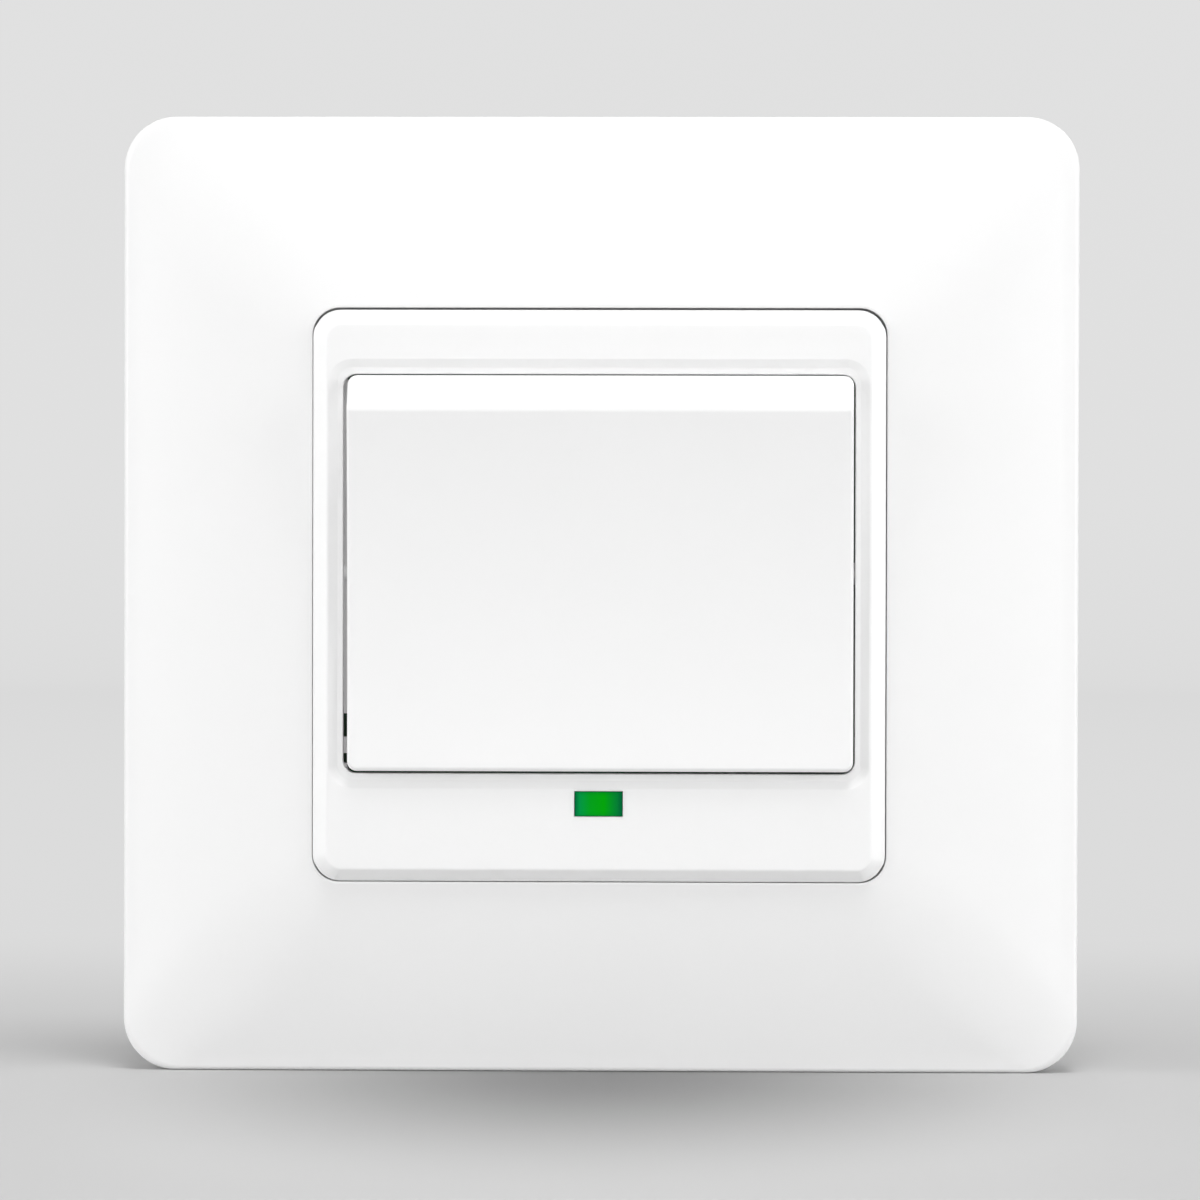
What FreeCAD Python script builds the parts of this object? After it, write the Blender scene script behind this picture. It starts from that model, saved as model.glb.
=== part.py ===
import FreeCAD, Part
import math
import os

from FreeCAD import Placement, Rotation, Vector

# A flat wireless wall switch: a pillowed square cover frame round a battery-powered rocker module.
# Every piece is drawn lying on its back, X to the right, Y up the wall and Z out from the wall,
# and is turned upright when it is written: +X right, +Z up, the front looking along -Y.
# The origin is the middle of the face that lies on the wall. All lengths are in millimetres.

# How far a cut runs past the face that it opens
cut_past = 1.0

# Cover frame
frame_size = 86.0
frame_corner = 4.7
frame_wall = 1.8
frame_lift = 0.4
crown_top = 10.0
crown_rim_tilt = 23.0
crown_opening_tilt = 8.0
crown_corner_swell = 3.4
opening_edge_bevel = 0.2
collar_wall = 1.0
collar_low = 5.0
frame_rib_wall = 1.0
frame_rib_low = 4.8
frame_rib_offset = 14.0
corner_post_radius = 2.0
corner_post_inset = 6.2
crown_rings = 5
cavity_rings = 3
rim_round = 0.7

# Insert in the middle of the frame
insert_size = 50.96
insert_corner = 2.4
insert_gap = 0.12
insert_face = 11.2
chamfer_width = 1.2
chamfer_depth = 1.2
chamfer_round = 0.35
face_plate_back = 9.4
module_wall = 2.0
lap_wall = 1.0
lap_clearance = 0.1
lap_depth = 1.0
parting_level = 5.0
flange_reach = 1.15
flange_thickness = 1.0
flange_clearance = 0.12

# Shallow tray round the rocker, and the rocker's aperture
rocker_centre = 1.95
face_side_margin = 2.68
face_end_margin = 7.7
aperture_corner = 1.15
tray_side_land = 1.2
tray_end_land = 1.32
tray_corner = 2.0
tray_slope = 0.7
tray_depth = 0.3
guide_low = 7.6
guide_wall = 0.9
guide_corner_gap = 2.8
guide_notch_places = (1.2, 4.2)
guide_notch_widths = (0.9, 2.1)

# Rocker, which rests against one side of its aperture
rocker_side_gap = 0.3
rocker_end_gap = 0.18
rocker_corner = 0.95
rocker_side_shift = 0.12
rocker_skirt = 8.4
rocker_ridge = 14.55
rocker_ridge_round = 0.8
rocker_top_edge = 11.7
rocker_bevel_height = 3.15
rocker_dish_rise = 2.39
rocker_dish_low = 5.3
rocker_wall = 1.5
rocker_edge_round = 0.4
rocker_rib_wall = 1.0
rocker_rib_low = 10.9
rocker_rib_pitch = 7.5
rocker_rib_end_gap = 0.6
pivot_level = 9.0
pivot_radius = 1.0
pivot_clearance = 0.05
pivot_reach = 1.3
pivot_end_gap = 0.2
pivot_lead_depth = 0.7
pivot_lead_low = 0.5

# Wall plate
plate_thickness = 1.6
plate_margin = 0.8
plate_corner = 5.5
window_clearance = 0.4
screw_circle = 60.3
screw_hole_radius = 2.1
tab_inset = 16.4
tab_proud = 0.2
tab_width = 8.0
tab_wall = 1.2
tab_top = 3.8
tab_barb = 0.4
barb_height = 0.8
bead_clearance = 0.3
bead_depth = 0.5
bead_height = 0.8
relief_slot_width = 1.4
relief_slot_gap = 0.8
relief_slot_end = 1.0
hook_place = 12.0
hook_width = 8.0
hook_wall = 1.2
hook_top = 4.6
hook_barb = 0.55
hook_gap = 0.15
groove_clearance = 0.2
groove_end = 0.5
tape_size = 15.0
tape_edge = 6.4
tape_thickness = 0.8
tape_clearance = 0.2

# Rear case and the battery well
drum_back = 0.5
drum_radius = 15.6
ledge_radius = 12.7
ledge_thickness = 1.0
lug_reach = 14.0
lug_space_radius = 14.3
lug_space_height = 1.1
lug_angle = 24.0
lug_count = 3
lug_thickness = 0.8
lug_clearance = 0.1
entry_clearance = 3.0
well_clearance = 0.3
well_wall = 1.3
well_top = 5.6
well_roof = 0.8
door_clearance = 0.2
door_thickness = 1.4
door_rim_wall = 0.8
door_turn = 40.0
coin_slot_length = 9.0
coin_slot_width = 1.8
coin_slot_depth = 0.8
coin_slot_corner = 0.6
cell_radius = 10.0
cell_height = 3.2
cell_step = 0.7
cell_lid_inset = 1.2
cell_gap = 0.1

# Circuit board and what it carries
board_edge_gap = 0.45
board_low = 6.2
board_thickness = 1.0
switch_end_distance = 5.6
switch_size = 6.0
switch_height = 1.6
switch_corner = 0.5
switch_well_depth = 0.4
switch_leg_length = 1.2
switch_leg_width = 0.8
switch_leg_thickness = 0.3
switch_leg_place = 2.2
stem_radius = 1.5
stem_gap = 0.05
stem_clearance = 0.1
press_pad_radius = 2.2
press_pad_low = 10.2
contact_thickness = 0.25
contact_width = 4.0
contact_slot_gap = 0.4
contact_slot_low = 3.2
contact_foot = 3.5
contact_leg_rise = 1.2
contact_touch = 0.02
leaf_foot = 7.5
leaf_bend = 4.0
leaf_touch = 2.5
leaf_end = 3.5
antenna_inset = 4.0
antenna_end_distance = 5.6
antenna_height = 2.2
antenna_bend = 0.8
antenna_thickness = 0.4
antenna_width = 1.0

# Surface-mounted parts, heights counted from the board
parts_column = 11.2
solder_lift = 0.1
ic_row = 2.0
ic_width = 3.9
ic_length = 8.65
ic_top = 1.5
ic_leads = 7
ic_lead_pitch = 1.27
ic_lead_width = 0.4
ic_lead_span = 6.0
ic_lead_root = 0.15
lead_thickness = 0.25
can_row = 8.0
can_base = 5.0
can_base_top = 1.0
can_lid = 4.4
can_lid_top = 1.4
transistor_row = 1.5
transistor_length = 2.9
transistor_width = 1.3
transistor_top = 1.0
transistor_lead_pitch = 0.95
transistor_lead_width = 0.4
transistor_lead_reach = 1.2
chip_length = 1.6
chip_width = 0.8
chip_pitch = 2.0
capacitor_height = 0.8
resistor_height = 0.45
capacitors_above = 9.5
capacitors_below = 5.0
resistors_below = 9.5
led_resistor = 5.0

# Case screws
screw_side_inset = 2.68
screw_end_inset = 2.1
screw_radius = 0.85
screw_length = 6.8
screw_head_radius = 1.6
screw_head_height = 1.1
screw_head_gap = 0.1
screw_recess_depth = 0.6
screw_recess_width = 0.5
screw_tap_gap = 0.02
screw_pass_gap = 0.2
screw_end_gap = 0.3
fascia_boss_radius = 1.45
fascia_boss_root = 0.2
case_boss_radius = 2.0

# Indicator light
lens_width = 4.25
lens_height = 2.19
lens_edge_distance = 6.92
lens_clearance = 0.04
lens_low = 8.1
lens_flange = 0.6
lens_flange_height = 0.9
lens_flange_gap = 0.05
led_width = 2.0
led_height = 1.25
led_base_top = 0.35
led_dome_inset = 0.4
led_top = 0.8

# Sizes that follow from those above
frame_half = frame_size / 2
insert_half = insert_size / 2
opening_half = insert_half + insert_gap
rim_inner_half = frame_half - frame_wall
corner_post_place = rim_inner_half - corner_post_inset
plate_half = rim_inner_half - plate_margin
tab_place = plate_half - tab_inset
tape_place = plate_half - tape_edge - tape_size / 2
aperture_width = insert_size - 2 * face_side_margin
aperture_height = insert_size - 2 * face_end_margin
tray_width = aperture_width + 2 * tray_side_land
tray_height = aperture_height + 2 * tray_end_land
rocker_width = aperture_width - 2 * rocker_side_gap
rocker_height = aperture_height - 2 * rocker_end_gap
switch_arm = rocker_height / 2 - switch_end_distance
lens_place = lens_edge_distance - insert_half
board_front = board_low + board_thickness
case_inner_half = insert_half - module_wall
board_half = case_inner_half - board_edge_gap
antenna_place = board_half - antenna_inset
screw_x = case_inner_half - screw_side_inset
screw_y = case_inner_half - screw_end_inset
lap_half = insert_half - lap_wall
case_floor_top = drum_back + ledge_thickness + lug_space_height + well_roof
sine_rim = math.sin(math.radians(crown_rim_tilt))
sine_opening = math.sin(math.radians(crown_opening_tilt))
crown_radius = (frame_half - opening_half) / (sine_rim - sine_opening)
crown_axis_half = frame_half - crown_radius * sine_rim
crown_axis_level = crown_top - crown_radius * math.cos(math.radians(crown_opening_tilt))
collar_inner_half = insert_half + flange_reach + insert_gap
collar_outer_half = collar_inner_half + collar_wall
well_radius = cell_radius + well_clearance
door_radius = ledge_radius - door_clearance
door_inner = drum_back + door_thickness
cell_low = door_inner + cell_gap
lug_low = drum_back + ledge_thickness + lug_clearance
screw_head_high = plate_thickness + screw_head_gap + screw_head_height


def outline(width, height, corner, level, centre=(0.0, 0.0)):
    """A closed rectangle with round corners, lying flat at one distance from the wall."""
    x = width / 2
    y = height / 2
    middle = Vector(centre[0], centre[1], level)
    slant = corner * (1 - math.sqrt(0.5))
    edges = []
    for turn in range(4):
        along, across = (x, y) if turn % 2 == 0 else (y, x)
        spin = Rotation(Vector(0, 0, 1), 90 * turn)

        def at(px, py):
            return middle + spin.multVec(Vector(px, py, 0))

        edges.append(Part.LineSegment(at(along, -across + corner), at(along, across - corner)).toShape())
        arc = Part.Arc(
            at(along, across - corner),
            at(along - slant, across - slant),
            at(along - corner, across),
        )
        edges.append(arc.toShape())
    return Part.Wire(edges)


def slab(width, height, corner, low, high, centre=(0.0, 0.0)):
    """A flat plate with round corners between two distances from the wall."""
    return Part.Face(outline(width, height, corner, low, centre)).extrude(Vector(0, 0, high - low))


def block(x_low, x_high, y_low, y_high, low, high):
    """A square-edged block given by its limits."""
    corner = Vector(x_low, y_low, low)
    return Part.makeBox(x_high - x_low, y_high - y_low, high - low, corner)


def rectangle(width, height, low, high, centre=(0.0, 0.0)):
    """A square-edged block that stands out from the wall, given by its sides and middle."""
    x, y = centre
    return block(x - width / 2, x + width / 2, y - height / 2, y + height / 2, low, high)


def square_post(half, low, high, centre=(0.0, 0.0)):
    """The same with four equal sides, given by half a side."""
    return rectangle(2 * half, 2 * half, low, high, centre)


def disc(radius, low, high, centre=(0.0, 0.0)):
    """A round disc or post that stands out from the wall."""
    return Part.makeCylinder(radius, high - low, Vector(centre[0], centre[1], low))


def prism(points, start, end):
    """A section of (y, z) points drawn across X and run from one X to another."""
    corners = [Vector(start, y, z) for y, z in points]
    return Part.Face(Part.makePolygon(corners + corners[:1])).extrude(Vector(end - start, 0, 0))


def turned(shape, angle, centre=Vector(0, 0, 0)):
    """A copy turned about the line out of the wall."""
    copy = shape.copy()
    copy.rotate(centre, Vector(0, 0, 1), angle)
    return copy


def four_sides(shape):
    """The same feature on all four sides of the square."""
    return [turned(shape, 90 * side) for side in range(4)]


def four_corners(x, y):
    """One place and its mirror images across the part's two middle lines."""
    return [(x, y), (-x, y), (-x, -y), (x, -y)]


def fused(shapes):
    """One solid from touching ones, with the seams between them removed."""
    return shapes[0].multiFuse(shapes[1:]).removeSplitter()


def edges_at(shape, level, half_low, half_high):
    """Edges that lie at one distance from the wall, between two squares."""
    found = []
    for edge in shape.Edges:
        box = edge.BoundBox
        reach = max(abs(box.XMin), abs(box.XMax), abs(box.YMin), abs(box.YMax))
        flat = box.ZMax - box.ZMin < 0.01 and abs(box.ZMin - level) < 0.01
        if flat and half_low < reach < half_high:
            found.append(edge)
    return found


def crown_level(half, depth):
    """Height of the crowned surface over a square ring, at a depth below the visible skin."""
    radius = crown_radius - depth
    return crown_axis_level + math.sqrt(radius**2 - (half - crown_axis_half) ** 2)


def crown_corner(half):
    """Corner radius of the ring at one place on the crown, which swells midway."""
    share = (half - opening_half) / (frame_half - opening_half)
    straight = insert_corner + (frame_corner - insert_corner) * share
    return straight + 4 * crown_corner_swell * share * (1 - share)


def crown(half, depth, rings):
    """The crowned body inside a square ring, down to that ring's own level."""
    wires = []
    for index in range(rings):
        reach = half + (opening_half - half) * index / (rings - 1)
        wires.append(outline(2 * reach, 2 * reach, crown_corner(reach), crown_level(reach, depth)))
    return Part.makeLoft(wires, True, True)


def frame_ribs(body):
    """Stiffening ribs under the crown, corner posts and the collar round the insert."""
    pieces = []
    for offset in (-frame_rib_offset, frame_rib_offset):
        low = offset - frame_rib_wall / 2
        high = offset + frame_rib_wall / 2
        reach = rim_inner_half + frame_wall / 2
        pieces += four_sides(block(low, high, collar_inner_half, reach, frame_rib_low, crown_top))
    place = (corner_post_place, corner_post_place)
    pieces += four_sides(disc(corner_post_radius, plate_thickness, crown_top, place))
    pieces.append(square_post(collar_outer_half, collar_low, crown_top))
    return [body.common(piece) for piece in pieces]


def snap_bead(place):
    """A bead inside the rim that clicks under a barb of the wall plate."""
    high = tab_top - barb_height - bead_clearance
    low = high - bead_height
    root = rim_inner_half + bead_depth / 2
    tip = rim_inner_half - bead_depth
    section = [
        (root, low - bead_depth),
        (root, high),
        (tip, high),
        (tip, low + bead_height / 2),
        (rim_inner_half, low),
    ]
    return prism(section, place - tab_width / 2, place + tab_width / 2)


def cover_frame():
    """Square frame whose four sides are crowned and meet in soft mitres at the corners."""
    rim_level = crown_level(frame_half, 0)
    skirt = slab(frame_size, frame_size, frame_corner, frame_lift, rim_level)
    body = fused([skirt, crown(frame_half, 0, crown_rings)])
    inner = 2 * rim_inner_half
    inner_level = crown_level(rim_inner_half, frame_wall)
    cavity = slab(inner, inner, crown_corner(rim_inner_half), 0, inner_level)
    cavity = fused([cavity, crown(rim_inner_half, frame_wall, cavity_rings)])
    shell = fused([body.cut(cavity)] + frame_ribs(body))
    throat_top = crown_level(collar_inner_half, frame_wall)
    shell = shell.cut(square_post(collar_inner_half, 0, throat_top))
    mouth = 2 * opening_half
    mouth_corner = insert_corner + insert_gap
    shell = shell.cut(slab(mouth, mouth, mouth_corner, 0, crown_top + cut_past))
    bevel = opening_edge_bevel
    wide = mouth + 2 * bevel
    low_edge = outline(mouth, mouth, mouth_corner, crown_top - bevel)
    high_edge = outline(wide, wide, mouth_corner + bevel, crown_top)
    shell = shell.cut(Part.makeLoft([low_edge, high_edge], True, True))
    shell = shell.makeFillet(rim_round, edges_at(shell, rim_level, rim_inner_half, frame_size))
    beads = []
    for place in (-tab_place, tab_place):
        beads += four_sides(snap_bead(place))
    return fused([shell] + beads)


def bevelled_front():
    """The insert's front: a straight bevel all round with a soft edge onto the flat face."""
    inner = insert_size - 2 * chamfer_width
    edge_level = insert_face - chamfer_depth
    rim = outline(insert_size, insert_size, insert_corner, edge_level)
    top = outline(inner, inner, insert_corner - chamfer_width, insert_face)
    bevel = Part.makeLoft([rim, top], True, True)
    body = fused([slab(insert_size, insert_size, insert_corner, parting_level, edge_level), bevel])
    front = edges_at(body, insert_face, 0, insert_half)
    return body.makeFillet(chamfer_round, front)


def guide_walls():
    """Thin walls behind the aperture that steer the rocker, broken at the corners and near the foot."""
    half_width = aperture_width / 2
    top = rocker_centre + aperture_height / 2
    low = rocker_centre - aperture_height / 2
    reach = half_width - guide_corner_gap
    walls = [block(-reach, reach, top, top + guide_wall, guide_low, face_plate_back)]
    for side in (-1, 1):
        inner = side * half_width
        outer = side * case_inner_half
        near = min(inner, outer)
        far = max(inner, outer)
        wall = block(near, far, low, top - guide_corner_gap, guide_low, face_plate_back)
        for place, width in zip(guide_notch_places, guide_notch_widths):
            middle = ((near + far) / 2, low + place)
            reach = far - near + cut_past
            wall = wall.cut(rectangle(reach, width, guide_low - cut_past, face_plate_back, middle))
        walls.append(wall)
    return walls


def pivot_cut(side):
    """One blind pivot bearing with the ramp that lets the stub snap in from behind."""
    half_width = aperture_width / 2
    depth = pivot_reach + pivot_end_gap
    near = half_width - cut_past
    start = Vector(side * near, rocker_centre, pivot_level)
    bore = Part.makeCylinder(pivot_radius + pivot_clearance, depth + cut_past, start, Vector(side, 0, 0))
    low = guide_low - pivot_lead_low
    ramp_points = [
        Vector(side * near, 0, low),
        Vector(side * (half_width + pivot_lead_depth), 0, low),
        Vector(side * (half_width + pivot_lead_depth / 2), 0, pivot_level),
        Vector(side * near, 0, pivot_level),
    ]
    section = Part.Face(Part.makePolygon(ramp_points + ramp_points[:1]))
    ramp = section.extrude(Vector(0, 2 * pivot_radius, 0))
    ramp.translate(Vector(0, rocker_centre - pivot_radius, 0))
    return bore.fuse(ramp)


def fascia():
    """Front half of the module: bevelled face, shallow tray, aperture, flange, bearings and bosses."""
    body = bevelled_front()
    high = crown_level(insert_half + flange_reach, frame_wall) - flange_clearance
    flange_size = insert_size + 2 * flange_reach
    flange = slab(flange_size, flange_size, insert_corner + flange_reach, high - flange_thickness, high)
    body = fused([body, flange])
    lap_top = parting_level + lap_depth + lap_clearance
    pocket = square_post(case_inner_half, 0, face_plate_back)
    lap = slab(2 * lap_half, 2 * lap_half, insert_corner - lap_wall, 0, lap_top)
    body = body.cut(pocket).cut(lap)
    tray_floor = insert_face - tray_depth
    middle = (0.0, rocker_centre)
    wide = outline(tray_width, tray_height, tray_corner, insert_face, middle)
    floor_width = tray_width - 2 * tray_slope
    floor_height = tray_height - 2 * tray_slope
    narrow = outline(floor_width, floor_height, tray_corner - tray_slope, tray_floor, middle)
    tray = Part.makeLoft([narrow, wide], True, True)
    body = fused([body] + guide_walls())
    for place in four_corners(screw_x, screw_y):
        body = body.fuse(disc(fascia_boss_radius, board_front, face_plate_back + fascia_boss_root, place))
    body = body.removeSplitter().cut(tray)
    low = guide_low - cut_past
    high = insert_face + cut_past
    body = body.cut(slab(aperture_width, aperture_height, aperture_corner, low, high, middle))
    pilot_top = plate_thickness + screw_head_height + screw_length + screw_end_gap
    for place in four_corners(screw_x, screw_y):
        body = body.cut(disc(screw_radius + screw_tap_gap, board_front - cut_past, pilot_top, place))
    for side in (-1, 1):
        body = body.cut(pivot_cut(side))
    wide = lens_width + 2 * lens_clearance
    tall = lens_height + 2 * lens_clearance
    return body.cut(rectangle(wide, tall, face_plate_back - cut_past, high, (0.0, lens_place)))


def rocker_profile(inset):
    """Side section of the rocker, or of its hollow: foot, dished face, ridge, bevel and head."""
    foot = -rocker_height / 2
    head = rocker_height / 2
    ridge = head - rocker_bevel_height
    lowest = foot + rocker_dish_low
    dish_radius = ((ridge - lowest) ** 2 + rocker_dish_rise**2) / (2 * rocker_dish_rise)
    axis_level = rocker_ridge - rocker_dish_rise + dish_radius

    def dish(y):
        return axis_level - math.sqrt((dish_radius + inset) ** 2 - (y - lowest) ** 2)

    slope = (rocker_ridge - rocker_top_edge) / rocker_bevel_height
    drop = inset * math.sqrt(1 + slope**2)

    def bevel(y):
        return rocker_ridge - slope * (y - ridge) - drop

    crest = ridge - inset
    for _ in range(40):
        crest += (bevel(crest) - dish(crest)) / (slope + 1)
    low = rocker_skirt - (cut_past if inset else 0.0)
    foot_in = foot + inset
    head_in = head - inset
    middle = (foot_in + crest) / 2
    points = [
        Vector(0, foot_in, low),
        Vector(0, foot_in, dish(foot_in)),
        Vector(0, crest, dish(crest)),
        Vector(0, head_in, bevel(head_in)),
        Vector(0, head_in, low),
    ]
    face_arc = Part.Arc(points[1], Vector(0, middle, dish(middle)), points[2])
    edges = [
        Part.LineSegment(points[0], points[1]).toShape(),
        face_arc.toShape(),
        Part.LineSegment(points[2], points[3]).toShape(),
        Part.LineSegment(points[3], points[4]).toShape(),
        Part.LineSegment(points[4], points[0]).toShape(),
    ]
    return Part.Face(Part.Wire(edges))


def is_upright(edge):
    """True for an edge that runs straight out from the wall."""
    box = edge.BoundBox
    return box.ZLength > 1 and box.XLength < 0.01 and box.YLength < 0.01


def is_crosswise(edge):
    """True for an edge that runs straight across the part."""
    box = edge.BoundBox
    return box.XLength > 0.1 and box.YLength < 0.01 and box.ZLength < 0.01


def is_rocker_rim(edge):
    """True for an edge that bounds the rocker's front, and not for one that crosses it."""
    box = edge.BoundBox
    crosses = is_crosswise(edge) and abs(box.YMin) < rocker_height / 2 - rocker_edge_round
    return box.ZMin > pivot_level and not is_upright(edge) and not crosses


def rocker():
    """Hollow rocker with a dished face, pivot stubs, ribs and two pads that press the switches."""
    half_width = rocker_width / 2
    outer = rocker_profile(0.0).extrude(Vector(rocker_width, 0, 0))
    outer.translate(Vector(-half_width, 0, 0))
    outer = outer.makeFillet(rocker_corner, [edge for edge in outer.Edges if is_upright(edge)])
    ridge = [edge for edge in outer.Edges if abs(edge.BoundBox.ZMin - rocker_ridge) < 0.01]
    outer = outer.makeFillet(rocker_ridge_round, ridge)
    outer = outer.makeFillet(rocker_edge_round, [edge for edge in outer.Edges if is_rocker_rim(edge)])
    hollow_width = rocker_width - 2 * rocker_wall
    hollow = rocker_profile(rocker_wall).extrude(Vector(hollow_width, 0, 0))
    hollow.translate(Vector(-hollow_width / 2, 0, 0))
    shell = outer.cut(hollow)
    inner = []
    rib_length = rocker_height - 2 * rocker_rib_end_gap
    for step in (-2, -1, 1, 2):
        place = (step * rocker_rib_pitch, 0.0)
        inner.append(rectangle(rocker_rib_wall, rib_length, rocker_rib_low, rocker_ridge, place))
    for side in (-1, 1):
        inner.append(disc(press_pad_radius, press_pad_low, rocker_ridge, (0.0, side * switch_arm)))
    core = outer.common(inner[0].multiFuse(inner[1:]))
    shell = fused([shell, core])
    shell.translate(Vector(rocker_side_shift, rocker_centre, 0))
    reach = aperture_width / 2 + pivot_reach
    stubs = []
    for side in (-1, 1):
        start_x = side * (half_width - rocker_wall / 2) + rocker_side_shift
        start = Vector(start_x, rocker_centre, pivot_level)
        length = reach - abs(start_x)
        stubs.append(Part.makeCylinder(pivot_radius, length, start, Vector(side, 0, 0)))
    return fused([shell] + stubs)


def plate_tab(place):
    """A springy tab on the plate's edge with a barb that holds the cover frame."""
    outer = plate_half + tab_proud
    start = place - tab_width / 2
    end = place + tab_width / 2
    arm = block(start, end, outer - tab_wall, outer, tape_thickness, tab_top)
    barb = [
        (outer, tab_top - barb_height),
        (outer + tab_barb, tab_top - barb_height),
        (outer + tab_barb, tab_top - barb_height / 2),
        (outer, tab_top),
    ]
    return arm.fuse(prism(barb, start, end))


def plate_hook(place):
    """A hook on the plate whose barb drops into the module's groove."""
    inner = insert_half + hook_gap
    start = place - hook_width / 2
    end = place + hook_width / 2
    arm = block(start, end, inner, inner + hook_wall, tape_thickness, hook_top)
    barb = [
        (inner, hook_top - barb_height),
        (inner - hook_barb, hook_top - barb_height),
        (inner - hook_barb, hook_top - barb_height / 2),
        (inner, hook_top),
    ]
    return arm.fuse(prism(barb, start, end))


def wall_plate():
    """Square mounting plate: round window, four screw holes, tape recesses, edge tabs and hooks."""
    through = plate_thickness + cut_past
    plate = slab(2 * plate_half, 2 * plate_half, plate_corner, 0, plate_thickness)
    plate = plate.cut(disc(drum_radius + window_clearance, -cut_past, through))
    slot_length = tab_width + 2 * relief_slot_end
    slot_y = plate_half + tab_proud - tab_wall - relief_slot_gap - relief_slot_width / 2
    for place in (-tab_place, tab_place):
        slot = rectangle(slot_length, relief_slot_width, -cut_past, through, (place, slot_y))
        for cut in four_sides(slot):
            plate = plate.cut(cut)
    for hole in four_sides(disc(screw_hole_radius, -cut_past, through, (screw_circle / 2, 0.0))):
        plate = plate.cut(hole)
    recess_half = tape_size / 2 + tape_clearance
    for place in four_corners(tape_place, tape_place):
        plate = plate.cut(square_post(recess_half, -cut_past, tape_thickness, place))
    pieces = [plate]
    for place in (-tab_place, tab_place):
        pieces += four_sides(plate_tab(place))
    for place in (-hook_place, hook_place):
        hook = plate_hook(place)
        pieces += [hook, turned(hook, 180)]
    return fused(pieces)


def tape_pads():
    """Four foam adhesive pads that fill the plate's recesses, flush with the wall."""
    places = four_corners(tape_place, tape_place)
    return Part.makeCompound([square_post(tape_size / 2, 0, tape_thickness, place) for place in places])


def sector(inner, outer, angle, low, high, middle):
    """A piece of a ring that covers an angle, centred on one direction."""
    ring = Part.makeCylinder(outer, high - low, Vector(0, 0, low), Vector(0, 0, 1), angle)
    ring = turned(ring, middle - angle / 2)
    return ring.cut(disc(inner, low - cut_past, high + cut_past))


def rear_case():
    """Back half of the module: a tray with the battery well, its bayonet ledge and screw bosses."""
    case = slab(insert_size, insert_size, insert_corner, plate_thickness, parting_level)
    case = case.cut(square_post(case_inner_half, case_floor_top, parting_level + cut_past))
    lip_half = lap_half - lap_clearance
    lip_corner = insert_corner - lap_wall - lap_clearance
    lip = slab(2 * lip_half, 2 * lip_half, lip_corner, parting_level, parting_level + lap_depth)
    lip = lip.cut(square_post(case_inner_half, parting_level - cut_past, board_front))
    space_low = drum_back + ledge_thickness
    drum = disc(drum_radius, drum_back, case_floor_top)
    sleeve = disc(well_radius + well_wall, drum_back, well_top)
    pieces = [case, lip, drum, sleeve]
    for place in four_corners(screw_x, screw_y):
        pieces.append(disc(case_boss_radius, plate_thickness, board_low, place))
    case = fused(pieces)
    case = case.cut(disc(well_radius, 0, board_low))
    case = case.cut(disc(ledge_radius, 0, space_low))
    case = case.cut(disc(lug_space_radius, space_low, space_low + lug_space_height))
    for index in range(lug_count):
        direction = 360 / lug_count * index + 90 - door_turn
        span = lug_angle + entry_clearance
        entry = sector(ledge_radius - cut_past, lug_space_radius, span, 0, space_low, direction)
        case = case.cut(entry)
    slot_half = contact_width / 2 + contact_slot_gap
    slot_end = well_radius + well_wall + cut_past
    case = case.cut(block(cell_radius, slot_end, -slot_half, slot_half, contact_slot_low, board_low))
    for place in four_corners(screw_x, screw_y):
        case = case.cut(disc(screw_radius + screw_pass_gap, 0, board_front, place))
        case = case.cut(disc(screw_head_radius + screw_pass_gap, 0, screw_head_high, place))
    groove_inner = insert_half + hook_gap - hook_barb - groove_clearance
    for x in (-hook_place, hook_place):
        groove = block(
            x - hook_width / 2 - groove_end,
            x + hook_width / 2 + groove_end,
            groove_inner,
            insert_half + cut_past,
            hook_top - barb_height - groove_clearance,
            hook_top + groove_clearance / 2,
        )
        case = case.cut(groove).cut(turned(groove, 180))
    return case.removeSplitter()


def battery_door():
    """Round bayonet cover of the battery well, turned with a coin."""
    rim_high = lug_low + lug_thickness
    rim_inner = door_radius - door_rim_wall
    hollow = disc(rim_inner, door_inner, rim_high + cut_past)
    pieces = [disc(door_radius, drum_back, rim_high).cut(hollow)]
    for index in range(lug_count):
        direction = 360 / lug_count * index + 90
        pieces.append(sector(rim_inner, lug_reach, lug_angle, lug_low, rim_high, direction))
    door = fused(pieces)
    slot = slab(coin_slot_length, coin_slot_width, coin_slot_corner, 0, drum_back + coin_slot_depth)
    return door.cut(slot)


def coin_cell():
    """Sealed button cell: a wide can with the slightly smaller lid towards the board."""
    can = disc(cell_radius, cell_low, cell_low + cell_height - cell_step)
    lid = disc(cell_radius - cell_lid_inset, cell_low, cell_low + cell_height)
    return fused([can, lid])


def circuit_board():
    """Square printed circuit board with four screw holes."""
    board = square_post(board_half, board_low, board_front)
    for place in four_corners(screw_x, screw_y):
        board = board.cut(disc(screw_radius + screw_pass_gap, 0, board_front + cut_past, place))
    return board


def negative_contact():
    """Leaf spring under the board that presses on the cell's lid."""
    skin = contact_thickness
    touch = cell_low + cell_height + skin
    upper = [
        (-leaf_foot, board_low),
        (-leaf_bend, board_low),
        (0.0, touch),
        (leaf_touch, touch),
        (leaf_end, touch + skin),
    ]
    lower = [(y, z - skin) for y, z in reversed(upper)]
    return prism(upper + lower, -contact_width / 2, contact_width / 2)


def positive_contact():
    """Bent tab from the board down the side of the cell."""
    inner = cell_radius + contact_touch
    half = contact_width / 2
    foot = block(inner, inner + contact_foot, -half, half, board_low - contact_thickness, board_low)
    leg = block(inner, inner + contact_thickness, -half, half, cell_low + contact_leg_rise, board_low)
    return fused([foot, leg])


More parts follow.
